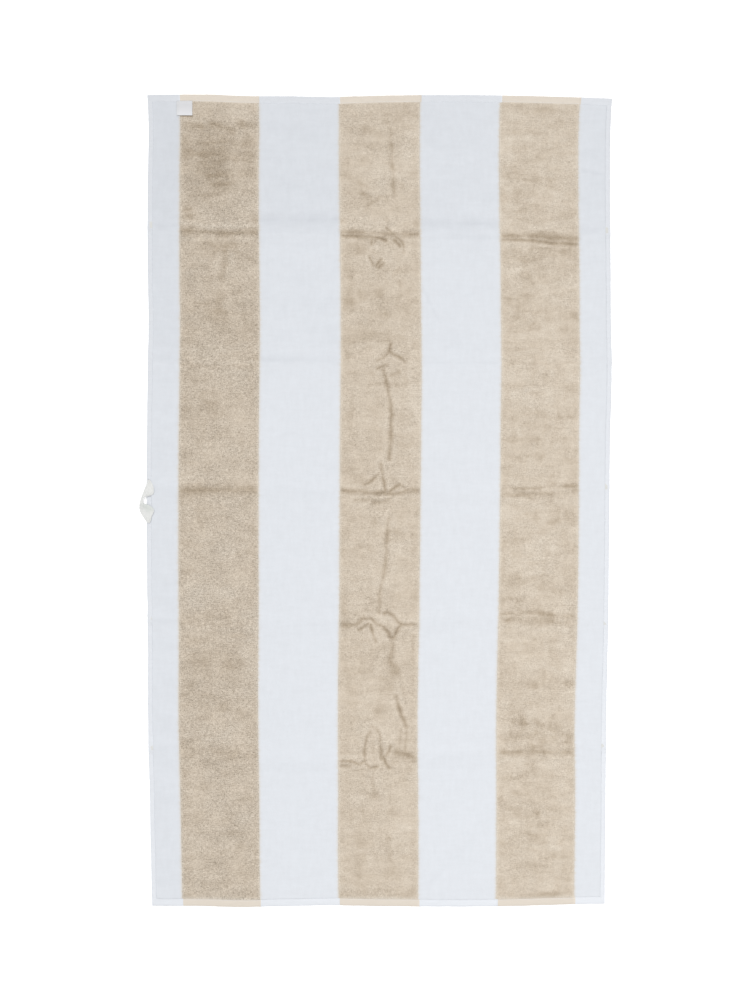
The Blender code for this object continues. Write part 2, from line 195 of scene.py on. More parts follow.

# Creases in the pile, sunk in the mesh and darkened with painted shade, or where the depth is negative
# swelling and painted paler: depth, half width, then the corners that each runs through
CREASES = (
    (0.18, 6.0, ((10, 771), (12, 748), (19, 734), (24, 727))),
    (0.38, 6.0, ((24.5, 701), (26, 655), (27, 640), (31, 600))),
    (0.25, 5.0, ((31, 638), (48, 622))),
    (0.35, 5.0, ((-40, 628), (-22, 618))),
    (0.40, 5.5, ((-33, 606), (-16, 599))),
    (0.35, 4.5, ((-28, 573), (-19, 586), (4, 599))),
    (1.05, 7.5, ((-76, 530.5), (-30, 529))),
    (1.10, 7.0, ((-76, 524.5), (-42, 523), (-13, 521))),
    (1.10, 5.0, ((-8, 520.5), (2, 518), (12, 515.3))),
    (0.80, 9.0, ((-30, 527.5), (0, 527), (20, 528))),
    (0.88, 7.0, ((14, 528), (24, 527), (50, 525.5), (77, 525.5))),
    (-0.45, 7.0, ((-76, 543), (-5, 542))),
    (0.85, 4.2, ((29.5, 515), (36, 508), (41, 502.5))),
    (0.90, 4.5, ((14, 538), (24, 529), (36, 519))),
    (0.60, 4.0, ((36, 519), (45, 509), (48, 500), (48, 490))),
    (0.80, 4.0, ((-14, 519), (-15, 506))),
    (0.60, 4.0, ((-7, 516), (-9, 507))),
    (0.80, 4.0, ((-20, 481), (-13, 467))),
    (0.80, 4.0, ((-5, 465), (4, 477))),
    (0.65, 4.0, ((0, 462), (9, 470))),
    (0.80, 5.0, ((243, 514.7), (289, 514.5), (326, 512), (346, 509), (373, 508), (393, 506))),
    (0.90, 10.0, ((243, 523), (300, 522), (393, 517.5))),
    (1.25, 5.0, ((280, 514.5), (300, 514), (330, 511.5))),
    (0.50, 8.0, ((-330, 745), (-306, 738), (-288, 730))),
    (0.30, 8.0, ((-281, 752), (-243, 739))),
    (0.30, 9.0, ((-390, 742), (-352, 738))),
    (0.55, 9.0, ((-315, 24), (-246, 24))),
    (0.3, 5.5, ((39, 434), (43, 424))),
    (0.95, 5.0, ((23, 309), (20.5, 294.5), (42, 282))),
    (0.50, 4.5, ((42, 282), (51, 275))),
    (0.75, 4.5, ((-4, 278), (7, 281.5), (19, 292))),
    (0.75, 4.5, ((-4, 261.5), (5, 265), (15, 268))),
    (0.4, 5.0, ((8, 277), (8, 270))),
    (0.6, 5.0, ((24, 248.5), (40, 254))),
    (0.2, 5.5, ((19, 297), (1, 277), (-11, 269))),
    (0.8, 6.0, ((8, 258), (13, 242), (16, 224), (20, 204))),
    (0.8, 6.0, ((20, 204), (23, 189), (24, 167), (22, 119), (20, 81))),
    (0.90, 4.8, ((3, 73), (6, 54), (12.5, 22))),
    (0.80, 4.5, ((0, 53), (-12, 43), (-23, 34))),
    (0.40, 5.0, ((-23, 34), (-31, 31))),
    (0.85, 4.5, ((21, 17), (31, 27), (40, 32))),
    (0.45, 4.5, ((46, 30), (54, 21))),
    (1.00, 6.5, ((-75, 21), (-22, 17), (-10, 15), (10, 17))),
    (0.7, 6.0, ((22, 13), (39, 15), (54, 20), (79, 21))),
    (0.6, 5.5, ((-47, 2), (-22, 2))),
    (0.45, 5.5, ((-13, -3), (4, -3), (20, 3))),
    (0.62, 6.0, ((18, -35), (16, -59), (15, -79))),
    (0.75, 6.5, ((15, -79), (12, -129), (7, -154))),
    (0.5, 6.0, ((7, -154), (1, -179), (0, -221))),
    (0.7, 6.0, ((-75, -244), (-49, -246), (-30, -231))),
    (0.75, 4.5, ((-40, -254), (-22, -242))),
    (0.85, 5.5, ((-29, -232), (-16, -233), (-6, -241), (9, -250), (15, -256), (23, -270))),
    (0.85, 5.5, ((23, -270), (30, -270), (36, -254), (43, -244))),
    (0.85, 4.5, ((-18, -244), (-12, -264), (-6, -277))),
    (1.0, 5.5, ((9, -222), (18, -220), (28, -228), (36, -238), (43, -243.5))),
    (0.78, 5.5, ((43, -243.5), (73, -244))),
    (0.35, 5.5, ((67, -266), (67, -315))),
    (0.15, 14.0, ((27, -275), (26, -320), (22, -372))),
    (0.90, 6.0, ((34, -386), (38, -406), (47, -430), (53, -445))),
    (0.35, 5.5, ((53, -445), (54, -471), (51, -493))),
    (0.3, 5.5, ((43, -451), (41, -479))),
    (0.70, 4.5, ((-16, -445), (-7, -449))),
    (0.75, 5.0, ((-4, -452), (1, -461), (2.5, -483), (5, -509))),
    (-0.50, 4.0, ((8, -457), (10, -470))),
    (0.70, 4.5, ((-17, -454), (-24, -467), (-29, -487), (-28, -512))),
    (0.80, 5.0, ((-78, -513.5), (-52, -513.5), (-39, -520), (-28, -514))),
    (0.50, 5.0, ((-78, -522), (-58, -523))),
    (0.85, 4.5, ((-26, -520), (-17, -528), (-4, -524.5))),
    (-0.60, 4.0, ((3, -512), (4, -527))),
    (0.80, 4.5, ((22, -483), (20, -492), (13, -503))),
    (1.00, 4.5, ((8, -505), (13, -516), (20, -528))),
    (0.60, 9.0, ((34, -496), (50, -502), (74, -508))),
    (0.35, 5.0, ((399, 651), (417, 649), (436, 645), (454, 641))),
    (0.3, 5.0, ((85, 422), (101, 388), (117, 357))),
    (0.25, 5.0, ((395, -398), (427, -392))),
    (0.42, 5.5, ((420, -394), (446, -388))),
    (0.30, 9.0, ((96, -760), (140, -716), (185, -676))),
    (0.16, 18.0, ((205, -30), (204, -136))),
    (0.14, 9.0, ((200, 236), (184, 150), (167, 76))),
    (0.14, 6.5, ((96, -84), (121, -131))),
    (0.12, 6.0, ((88, -152), (97, -191))),
    (0.12, 6.0, ((126, -142), (135, -181))),
    (0.12, 8.0, ((-174, -109), (-126, -109))),
    (0.12, 8.0, ((-129, -429), (-96, -428))),
    (0.12, 8.0, ((433, 106), (438, 103))),
    (0.10, 7.0, ((400, -54), (446, -52))),
    (0.3, 5.0, ((399, 538), (417, 538), (444, 536))),
    (1.1, 2.6, ((-399, 759.5), (-370, 759.5))),
    (0.20, 7.0, ((-452, 541), (-398, 541))),
    (0.42, 12.5, ((-238, 554), (-158, 554.5), (-82, 555))),
    (0.12, 6.0, ((-238, 531), (-158, 529), (-82, 526))),
    (0.40, 14.0, ((82, 549), (123, 548), (232, 547))),
    (0.50, 11.0, ((158, 547), (232, 547))),
    (0.18, 7.0, ((82, 519), (232, 517))),
    (0.25, 15.0, ((396, 533), (448, 535))),
    (0.10, 7.0, ((-452, 279), (-398, 278))),
    (0.38, 12.0, ((-238, 280), (-195, 278), (-121, 275), (-82, 274))),
    (0.38, 8.0, ((82, 272), (155, 271.5), (232, 271))),
    (0.08, 12.0, ((396, 277), (448, 277))),
    (0.13, 13.0, ((-238, 20), (-158, 17), (-82, 15))),
    (0.09, 13.0, ((82, 13), (150, 14))),
    (0.16, 7.0, ((-450, -237), (-396, -237))),
    (0.13, 8.0, ((-238, -248), (-82, -244))),
    (0.08, 9.0, ((82, -242), (160, -240))),
    (0.12, 8.0, ((-448, -489), (-396, -491))),
    (0.10, 7.0, ((-448, -521), (-396, -523))),
    (0.13, 6.0, ((-150, -503), (-82, -505))),
    (0.12, 6.0, ((-150, -518), (-82, -523))),
    (0.20, 10.0, ((82, -506), (160, -506), (232, -504))),
    (0.10, 9.0, ((396, -495), (440, -497))),
    (0.55, 8.5, ((243, -496.5), (325, -496))),
    (0.75, 8.0, ((325, -496), (386, -495.5))),
    (0.24, 10.0, ((243, -488), (318, -488))),
    (0.20, 9.0, ((325, -477), (386, -477))),
)

# Where the pile leans another way and looks darker or paler, partly painted light and shade of its lie
# and partly its own tone: x, y, half length in x and y, tone
LEANS = (
    (-336, 690, 44, 40, -0.55),
    (-318, 631, 32, 30, -0.75),
    (-345, 736, 50, 10, -0.6),
    (-267, 744, 24, 12, -0.5),
    (-274, 765, 26, 15, 0.5),
    (-371, 570, 18, 26, -0.6),
    (-309, 471, 8, 52, -0.7),
    (-310, 376, 13, 36, -0.6),
    (-352, 461, 32, 8, -0.55),
    (-344, 396, 40, 11, -0.65),
    (-328, 362, 30, 20, -0.7),
    (-271, 453, 15, 9, -0.5),
    (-296, 481, 8, 42, 0.5),
    (-318, 301, 68, 30, 0.5),
    (-338, 189, 19, 19, -0.75),
    (-326, 129, 15, 48, -0.3),
    (-385, 187, 13, 22, -0.5),
    (-342, -19, 22, 28, -0.45),
    (-338, -141, 18, 11, -0.5),
    (-274, -108, 18, 8, -0.4),
    (-320, -181, 66, 22, 0.55),
    (-326, -226, 60, 16, -0.25),
    (-352, -321, 26, 22, -0.75),
    (-290, -324, 28, 11, -0.5),
    (-369, -364, 16, 14, -0.55),
    (-377, -408, 14, 12, -0.45),
    (-298, -410, 36, 9, -0.5),
    (-292, -443, 36, 18, 0.45),
    (-320, -528, 22, 6, -0.55),
    (-286, -659, 32, 11, -0.55),
    (-357, -656, 32, 9, -0.35),
    (-340, -753, 15, 16, -0.35),
    (-325, 672, 80, 84, -1.0),
    (-384, 690, 16, 60, -0.6),
    (-320, -170, 84, 150, 0.22),
    (-262, 680, 26, 50, -0.65),
    (-378, 562, 22, 24, -0.9),
    (-344, 604, 40, 12, -0.45),
    (-300, 500, 84, 24, -0.8),
    (-378, 392, 22, 40, -0.65),
    (-320, 398, 30, 20, -0.5),
    (-262, 362, 22, 24, -0.45),
    (-296, 250, 40, 34, 0.7),
    (-318, 176, 24, 20, -0.4),
    (-303, -80, 56, 46, 0.65),
    (-370, -190, 36, 50, 0.95),
    (-250, -280, 26, 90, 0.85),
    (-268, -392, 46, 30, 0.65),
    (-310, -464, 84, 34, 0.75),
    (-262, -628, 28, 34, 0.8),
    (-370, -628, 28, 24, -0.45),
    (-350, -738, 50, 22, 0.35),
    (-24, 736, 12, 22, -0.7),
    (-57, 726, 11, 12, -0.4),
    (-26, 669, 12, 17, -0.5),
    (20, 712, 7, 40, -0.6),
    (24, 665, 8, 18, -0.9),
    (30, 619, 7, 32, -0.6),
    (-41, 597, 28, 34, -0.45),
    (1, 629, 14, 50, 0.4),
    (49, 649, 20, 88, 0.35),
    (12, 556, 7, 11, -0.5),
    (-5, 468, 16, 14, -0.8),
    (-53, 424, 14, 22, -0.45),
    (-2, 412, 15, 42, -0.6),
    (-26, 341, 34, 28, -0.4),
    (22, 455, 8, 54, 0.5),
    (-23, 481, 7, 26, 0.35),
    (-7, 501, 9, 12, 0.5),
    (39, 404, 6, 36, -0.45),
    (-65, 289, 9, 16, -0.6),
    (47, 173, 20, 64, 0.4),
    (-39, 183, 25, 11, -0.35),
    (-57, 139, 14, 62, -0.25),
    (-10, -40, 11, 15, -0.75),
    (-34, -110, 32, 34, -0.4),
    (45, -121, 22, 76, 0.4),
    (27, -316, 13, 46, -0.85),
    (43, -305, 13, 58, 0.45),
    (4, -405, 12, 38, -0.35),
    (55, -501, 12, 6, -0.8),
    (-39, -514, 24, 8, -0.5),
    (-13, -556, 7, 34, -0.8),
    (-16, -584, 12, 10, -0.8),
    (-39, -702, 12, 70, -0.5),
    (22, -676, 10, 100, -0.35),
    (0, -576, 14, 42, 0.4),
    (49, -621, 20, 106, 0.35),
    (-64, 752, 16, 22, 0.5),
    (60, 712, 26, 40, 1.0),
    (-64, 660, 16, 34, -0.95),
    (-42, 490, 36, 34, -0.7),
    (56, 508, 16, 14, 0.45),
    (-64, 408, 18, 46, -1.1),
    (6, 367, 20, 24, -0.45),
    (-64, 304, 16, 22, -0.45),
    (70, 200, 20, 74, 1.5),
    (-50, 225, 22, 20, 0.35),
    (70, -122, 14, 34, 0.55),
    (-2, -140, 14, 26, -0.3),
    (-44, -203, 34, 22, 0.55),
    (52, -195, 16, 20, 0.35),
    (12, -371, 20, 28, -0.9),
    (-64, -410, 16, 22, -0.35),
    (-1, -418, 22, 7, -0.6),
    (68, -553, 16, 30, 0.9),
    (-36, -754, 24, 20, -0.45),
    (46, -768, 22, 18, -0.4),
    (324, 708, 20, 16, -0.5),
    (308, 773, 62, 9, -0.3),
    (318, 631, 50, 11, -0.5),
    (285, 574, 19, 20, -0.55),
    (279, 477, 25, 18, -0.4),
    (292, 402, 19, 10, -0.85),
    (288, 416, 23, 26, -0.35),
    (284, 343, 32, 44, -0.25),
    (344, 327, 28, 58, 0.3),
    (344, 584, 28, 32, 0.3),
    (252, -25, 7, 28, 0.6),
    (286, -23, 8, 10, -0.35),
    (363, -74, 12, 15, -0.4),
    (272, -149, 25, 11, -0.4),
    (351, -323, 18, 11, -0.6),
    (288, -370, 36, 13, -0.5),
    (353, -386, 15, 12, -0.45),
    (283, -439, 7, 28, -0.8),
    (344, -424, 25, 44, -0.25),
    (284, -621, 36, 11, -0.6),
    (310, -663, 11, 11, -0.4),
    (263, -749, 22, 15, -0.5),
    (348, -680, 22, 50, 0.35),
    (362, 778, 26, 18, 0.8),
    (268, 535, 30, 28, -0.9),
    (306, 519, 26, 13, -0.8),
    (350, 534, 60, 9, -0.3),
    (374, 535, 16, 16, -0.3),
    (266, 390, 34, 26, -1.0),
    (265, 335, 22, 26, -0.5),
    (316, 218, 60, 34, 0.95),
    (247, 63, 14, 26, 0.45),
    (300, -116, 76, 40, 0.95),
    (372, -282, 22, 34, 0.95),
    (254, -412, 22, 34, 0.95),
    (326, -448, 26, 20, 0.3),
    (249, -503, 16, 18, -0.4),
    (370, -574, 24, 38, 0.95),
    (356, -650, 32, 24, 0.65),
    (338, -778, 56, 20, -1.5),
)
# Their strength, and how far their soft borders reach, in half lengths
LEAN_STRENGTH = 0.85
LEAN_SPREAD = 1.25
# Painted light: tone of the pile in the panels between the folds, which differ in brightness as the light
# falls on them, from the bottom end to the top one, and the distance over which it changes
PANEL_PAINTED_LIGHT = (0.26, 0.22, 0.18, 0.16, -0.15, -0.50)
PANEL_BLEND = 10.0

# The seven bands of pile: name, first and last share of the width, mesh step across, along near the
# folds and along elsewhere, yarn, unevenness, tone, which is partly painted light, lighter towards the
# right, and strength of the grain
BANDS = (
    ("pile_white_left", 0.0, 0.069, (2.4, 1.5, 3.2), "white", 1.3, -1.75, 0.6),
    ("pile_sand_left", 0.069, 0.240, (2.1, 1.3, 2.7), "sand", 0.72, 0.03, 1.55),
    ("pile_white_left_inner", 0.240, 0.416, (2.4, 1.5, 3.2), "white", 1.3, 0.0, 0.6),
    ("pile_sand_middle", 0.416, 0.586, (1.35, 1.25, 2.6), "sand", 0.85, 0.11, 0.9),
    ("pile_white_right_inner", 0.586, 0.762, (2.4, 1.5, 3.2), "white", 1.3, 0.8, 0.6),
    ("pile_sand_right", 0.762, 0.930, (2.1, 1.3, 2.7), "sand", 1.25, 0.23, 0.82),
    ("pile_white_right", 0.930, 1.0, (2.4, 1.5, 3.2), "white", 1.3, 0.9, 0.6),
)
# Their edges: gap at a stripe border, overlap over a hem, width of the rounding, first mesh lines,
# depth of the rounding beside a hem and at a stripe border, share of the width that lies beside a
# side hem, and height of the undersides over the ground's
BAND_GAP = 0.06
HEM_OVERLAP = 0.25
BAND_ROUND = 1.6
BAND_MARGIN = (0.0, 0.3, 0.8, BAND_ROUND)
BAND_FALL = 0.3
BORDER_FALL = 0.1
BY_SIDE_HEM = 0.02
BAND_ROOT = 0.7
# Fine mesh steps reach this far below and above each fold's mean crest
FINE_BELOW = 34.0
FINE_ABOVE = 46.0
# Mesh lines of a band's underside: how many, and for the middle band their places from the towel's
# middle, close together where the lengthwise crease lifts
UNDER_LINES = 7
CREASE_LINES = (-9, 5, 14, 24, 34, 46, 59)
# How the two yarns mix at the ends of the sand stripes, and a distance too far from any border to mix
END_MIX_BOTTOM = 0.7
END_MIX_TOP = (1.2, 1.5)
NO_BORDER = 99.0

# How much of the folds' height is left on the upper surface, where the pile is pressed at their
# crests, the distance over which it changes at a stripe border, and how much wider it falls
RELIEF_WHITE = 0.45
RELIEF_SAND = 0.75
RELIEF_HEM = 0.6
RELIEF_BLEND = 18.0
RELIEF_REACH = 1.9
# The least pile left anywhere and how softly it is kept, then how far the top of the pile follows its
# lines and its lean, and the most that its loops count
PILE_LEAST = 1.0
PILE_SETTLE = 0.3
PARTED_SINK = 1.2
LEAN_RISE = 0.12
LOOPS_MOST = 0.75

# Chance unevenness, each line a sum of parts: strength, size of its cells across and along, seed.
# Borders of pressed lines and of leaning patches, wear of the lines, the lie of the pile and its
# broken patches, loops in the mesh, coarse patches of grain, hems and label
RAGGED_X = ((0.9, 11.0, 9.0, 31),)
RAGGED_Y = ((1.0, 13.0, 10.0, 32), (0.2, 4.0, 4.0, 33))
WORN = ((0.24, 17.0, 17.0, 40),)
MARK_WIDTH = (0.3, 26.0, 30.0)
MARK_SEED = 100
WAVER_X = ((6.0, 34.0, 26.0, 41), (4.0, 12.0, 9.0, 42))
WAVER_Y = ((5.0, 40.0, 22.0, 43), (3.5, 13.0, 8.0, 44))
STREAKS = (
    (0.24, 80.0, 30.0, 45),
    (0.34, 38.0, 11.0, 46),
    (0.30, 17.0, 6.0, 47),
    (0.22, 90.0, 19.0, 56),
    (0.22, 11.0, 34.0, 48),
    (0.22, 6.0, 17.0, 49),
)
BROKEN = ((0.45, 30.0, 6.0, 55),)
LOOPS = ((0.11, 2.6, 2.2, 51), (0.055, 5.5, 3.4, 52))
COARSE = ((0.30, 46.0, 30.0, 53), (0.18, 17.0, 14.0, 54))
HEM_WOBBLE = ((0.3, 33.0, 41.0, 61), (0.18, 9.0, 11.0, 62))
HEM_PUCKER = ((0.10, 7.5, 6.0, 63), (0.07, 19.0, 9.0, 64))
LABEL_WAVER = ((0.25, 6.0, 6.0, 71),)
LABEL_RIPPLE = ((0.12, 9.0, 7.0, 72),)
CHANCE_ROWS = 97
CHANCE_COLUMNS = 89

# The ground cloth: how far it is tucked into the hems, its first mesh lines, and its mesh steps
# across, along near the folds and along elsewhere
TUCK = 4.0
GROUND_MARGIN = (0.0, 0.8, 3.0, 6.5)
GROUND_STEPS = (11.0, 5.0, 12.0)
# Inside the hems it is thinner: over these distances, and by this much above and below
THIN_BY_SIDE = 3.0
THIN_BY_END = 6.0
THIN_ABOVE = 0.1
THIN_BELOW = 0.55
# The back leans in the same patches as the front, mirrored and moved along by this much
BACK_SHIFT = 37.0

# Cross-section of a turned hem: share of the hem's width from its outer edge, height share
HEM_SECTION = (
    (1.00, 0.16),
    (0.80, 0.02),
    (0.45, 0.00),
    (0.16, 0.00),
    (0.06, 0.08),
    (0.015, 0.26),
    (0.00, 0.50),
    (0.015, 0.74),
    (0.06, 0.90),
    (0.14, 0.98),
    (0.30, 1.00),
    (0.48, 0.98),
    (0.66, 0.99),
    (0.78, 0.96),
    (0.84, 0.91),
    (0.90, 0.94),
    (0.96, 0.95),
    (1.00, 0.92),
)
# Its mesh step, how far a side hem runs into an end hem, how far an edge may stray outwards, and over
# what distance the ends of a hem are squeezed
HEM_STEP = 2.6
HEM_LAP = 2.0
HEM_OUT = 0.35
HEM_CLOSING = 1.2
# How much lighter the hems are than their yarn: a constant, then per millimetre along and across the
# towel as painted light, and the change from a hem's edge inwards, painted shade on its rolled outer edge
HEM_TONE_AND_PAINTED_LIGHT_WHITE = (0.018, -0.04 / 800, 0.02 / 450)
HEM_TONE_AND_PAINTED_LIGHT_SAND = (0.024, 0.01 / 800, 0.0)
HEM_PAINTED_SHADE_INWARDS = 0.025
# The hems' stitches: share of the hem's width and height at which they lie, distance of the first and
# last from the ends of the run, their pitch, length and thickness, and how unevenly they are sewn
STITCH_LINE = 0.84
STITCH_HEIGHT = 0.93
STITCH_FIRST = 5.0
STITCH_LAST = 4.0
STITCH_PITCH = 3.2
STITCH_LENGTH = 2.7
STITCH_THICK = 0.5
STITCH_SKEW = 0.07
STITCH_REACH = (0.92, 1.06)

# The loop's tape: outer edge x, y, z and inner edge x, y, z, from its upper end to its lower one,
# then how far its middle bulges up between them
TAPE_ROWS = (
    (-458.0, 41.5, 3.0, -452.5, 41.5, 3.0, 0.0),
    (-459.8, 32.0, 3.0, -447.4, 33.0, 4.0, -0.3),
    (-463.8, 21.5, 2.6, -444.8, 22.5, 4.6, -0.6),
    (-468.4, 10.5, 1.8, -447.2, 12.4, 4.2, 0.0),
    (-471.4, 0.0, 1.2, -463.4, 6.8, 5.2, 1.6),
    (-473.4, -10.5, 1.0, -465.2, -4.6, 6.4, 2.2),
    (-472.4, -20.5, 1.0, -453.6, -8.8, 5.6, 1.2),
    (-468.2, -29.0, 1.6, -444.6, -17.8, 4.9, 0.0),
    (-462.8, -36.5, 2.6, -448.8, -30.2, 4.2, -0.4),
    (-458.0, -43.5, 3.0, -452.5, -43.5, 3.0, 0.0),
)
TAPE_THICKNESS = 1.0
# It rests on the cloth, whose top rises from the hem to the pile and falls to the floor past its edge
TAPE_REST = 0.95
TAPE_SETTLE = 1.0
PILE_STEP = 3.0
TAPE_FALL = 7.0
# Length and width that its weave is counted by
TAPE_RUN = 118.0
TAPE_SPAN = 17.0
# Its two bar tacks: middle x and y, half their spread, stitches in each, and the height over its rest
TACK_X = -455.4
TACK_Y = (37.5, -39.5)
TACK_HALF = 3.4
TACK_STITCHES = 11
TACK_HEIGHT = 0.62
TACK_LENGTH = 3.0
TACK_THICK = 0.45

# The care label: place, size and how it lies: distance below the hem's inner line, underside height
LABEL_X = -400.0
LABEL_WIDTH = 31.0
LABEL_THICKNESS = 0.45
LABEL_LIE = (
    (-1.6, 2.6),
    (0.0, 2.7),
    (3.0, 3.5),
    (8.0, 3.6),
    (15.0, 3.65),
    (22.0, 3.8),
    (27.0, 4.1),
)
# How much its right side stands higher and is longer, and how wide its thinned edge is
LABEL_LEAN = 0.35
LABEL_SKEW = 0.018
LABEL_EDGE = 0.5

# Colours of the pile by its tone, from dark where it is parted, painted shade, to light where it leans
# up, painted light
WHITE_STOPS = (
    (0.0, (0.42, 0.435, 0.47)),
    (0.35, (0.585, 0.607, 0.643)),
    (0.5, (0.643, 0.665, 0.70)),
    (1.0, (0.70, 0.718, 0.75)),
)
SAND_STOPS = (
    (0.0, (0.186, 0.135, 0.088)),
    (0.3, (0.41, 0.335, 0.25)),
    (0.5, (0.558, 0.479, 0.386)),
    (0.75, (0.64, 0.567, 0.474)),
    (1.0, (0.707, 0.642, 0.558)),
)
# Colours of the loops that are mixed in beside the stripe borders, and their share by the distance
# from the border, in centimetres
CREAM = (0.72, 0.67, 0.59)
TAN = (0.58, 0.46, 0.30)
MIXED_STOPS = ((0.0, 0.5), (0.14, 0.31), (0.28, 0.16), (0.42, 0.065), (0.60, 0.015), (0.8, 0.0))
# The grain's dark spots are a little browner and its light ones a little bluer
GRAIN_HUE = (0.95, 1.01, 1.08)
GRAIN_MOST = 1.5
LOOP_SCALE = 620.0
LOOP_STRETCH = (0.8, 1.15, 1.0)
# The two yarns as they look in the hems, in the ground cloth and on the back
HEM_YARNS = ((0.66, 0.68, 0.715), (0.652, 0.59, 0.515))
GROUND_YARNS = ((0.64, 0.64, 0.62), (0.62, 0.565, 0.475))
BACK_YARNS = ((0.643, 0.665, 0.70), (0.558, 0.479, 0.386))
RIB_SCALE = 330.0
# Painted shade: the tape is darker where its lower leaf turns towards the hole: by shares of its length and
# width
TAPE_WHITE = (0.745, 0.75, 0.735)
TAPE_SHADE_DOWN = ((0.50, 0.0), (0.58, 1.0), (0.74, 1.0), (0.82, 0.0))
TAPE_SHADE_OVER = ((0.30, 0.0), (0.62, 1.0), (1.0, 1.0))
TAPE_SHADE = (-0.12, -0.095, -0.11)
# Painted shade and light: the label is a little darker by the hem and along its left edge, and a little
# lighter at its free end: by shares of its length, and of the width of that edge
LABEL_WHITE = (0.65, 0.65, 0.668)
LABEL_SHADE_DOWN = ((0.0, 0.93), (0.35, 0.95), (1.0, 1.06))
LABEL_SHADE_OVER = ((0.0, (0.95, 0.96, 0.955)), (0.3, (0.96, 0.97, 0.965)), (0.6, 1.0))
LABEL_SHADE_WIDTH = 10.0
THREAD_WHITE = (0.66, 0.675, 0.70)

# The studio: lights by name, size, power and place, and the camera's distance and height of view
LIGHTS = (
    ("window", 4.0, 810.0, (-4.0, 7.2, 10.6)),
    ("softbox", 1.8, 48.0, (0.7, -1.0, 3.2)),
)
FLOOR_HALF = 15.0
FLOOR_Z = -0.0002
CAMERA_XY = (-0.00125, 0.00125)
CAMERA_DISTANCE = 6.0
SHOWN_HEIGHT = 1.975
SENSOR = 36.0


def curve(at, knots, values):
    """Smooth curve through the knots: cubic spans whose slopes are means of the chords beside each knot."""
    knots = np.asarray(knots, float)
    values = np.asarray(values, float)
    if knots[0] > knots[-1]:
        knots = knots[::-1]
        values = values[::-1]
    slopes = np.gradient(values, knots)
    span = np.clip(np.searchsorted(knots, at) - 1, 0, len(knots) - 2)
    step = knots[span + 1] - knots[span]
    t = np.clip((at - knots[span]) / step, 0.0, 1.0)
    from_left = (2 * t**3 - 3 * t**2 + 1) * values[span] + (t**3 - 2 * t**2 + t) * step * slopes[span]
    from_right = (3 * t**2 - 2 * t**3) * values[span + 1] + (t**3 - t**2) * step * slopes[span + 1]
    return from_left + from_right


def table_curve(at, table, index):
    """Smooth curve through a table's column of that index, over its first column."""
    return curve(at, [row[0] for row in table], [row[index] for row in table])


def ease(t):
    """Smooth step from 0 to 1: t squared times (3 - 2t)."""
    return t * t * (3.0 - 2.0 * t)


def bump(r):
    """A smooth hump: half a cosine wave, 1 at r = 0 and 0 from r = 1 on."""
    return 0.5 + 0.5 * np.cos(np.pi * np.minimum(np.abs(r), 1.0))


def pinch(r):
    """A pinched hump, steep beside r = 0: 1.12 * (1 - sqrt(r * r + 0.01) / 1.4) ** 1.6, then 0."""
    return (1.0 - np.minimum(np.sqrt(r * r + 0.01) / 1.4, 1.0)) ** 1.6 * 1.12


def rest_on(height, least, soft):
    """The height, kept above the least one smoothly: least + (over + hypot(over, soft)) / 2."""
    over = height - least
    return least + 0.5 * (over + np.hypot(over, soft))


def uneven(x, y, cell_x, cell_y, seed):
    """Smooth chance value from -1 to 1: chance numbers at the corners of cells of that size, blended."""
    table = np.random.default_rng(seed).uniform(-1.0, 1.0, (CHANCE_ROWS, CHANCE_COLUMNS))
    across = x / cell_x + 1000.0
    along = y / cell_y + 1000.0
    left = np.floor(across).astype(int)
    below = np.floor(along).astype(int)
    s = ease(across - left)
    t = ease(along - below)
    here = left % CHANCE_COLUMNS
    beside = (left + 1) % CHANCE_COLUMNS
    rows = (below % CHANCE_ROWS, (below + 1) % CHANCE_ROWS)
    low, high = (table[row, here] * (1 - s) + table[row, beside] * s for row in rows)
    return low * (1 - t) + high * t


def chance(x, y, parts):
    """The sum of smooth chance values, each with its strength, the size of its cells and its seed."""
    return sum(strength * uneven(x, y, *cells_and_seed) for strength, *cells_and_seed in parts)


def crest_y(fold, share):
    """y of a fold's crest at a share of the width."""
    return curve(share, FOLD_SHARES, FOLD_CRESTS[fold])


def lie_down(across, along):
    """Where a point of the cut cloth lies: by shares of width and length between the outline's curves."""
    share = across / WIDTH
    bottom = table_curve(share, ENDS, BOTTOM)
    top = table_curve(share, ENDS, TOP)
    y = bottom + (top - bottom) * along / LENGTH
    left = table_curve(y, SIDES, LEFT)
    right = table_curve(y, SIDES, RIGHT)
    x = left + (right - left) * share
    stations = (0.0, *STRIPE_EDGES, 1.0)
    for border in range(1, len(STRIPE_EDGES) + 1):
        near = np.interp(share, stations, np.eye(len(stations))[border])
        x = x + near * table_curve(y, DRIFT, border)
    return x, y


def distance_to_run(x, y, corners):
    """Distance from each point to the nearest of the straight stretches between the corners."""
    nearest = np.full(np.shape(x), 1e9)
    for (x0, y0), (x1, y1) in zip(corners[:-1], corners[1:]):
        along = ((x - x0) * (x1 - x0) + (y - y0) * (y1 - y0)) / ((x1 - x0) ** 2 + (y1 - y0) ** 2)
        along = np.clip(along, 0.0, 1.0)
        nearest = np.minimum(nearest, np.hypot(x - x0 - along * (x1 - x0), y - y0 - along * (y1 - y0)))
    return nearest


def lift_at(share, x, y, widened=1.0):
    """Height of the cloth's underside: the cube root of the summed cubes of its folds, crease and puffs."""
    total = np.zeros(np.shape(x))
    for fold, height in enumerate(FOLD_LIFTS):
        away = y - crest_y(fold, share)
        reach = np.where(away > 0, FOLD_REACH_UP, FOLD_REACH_DOWN * widened)
        total += (height * bump(away / reach)) ** 3
    away = (x - table_curve(y, CREASE, CREASE_X)) / CREASE_REACH
    total += (np.maximum(table_curve(y, CREASE, CREASE_LIFT), 0.0) * bump(away)) ** 3
    for middle_x, middle_y, half_x, half_y, height in PUFFS:
        total += (height * bump(np.hypot((x - middle_x) / half_x, (y - middle_y) / half_y))) ** 3
    return np.cbrt(total)


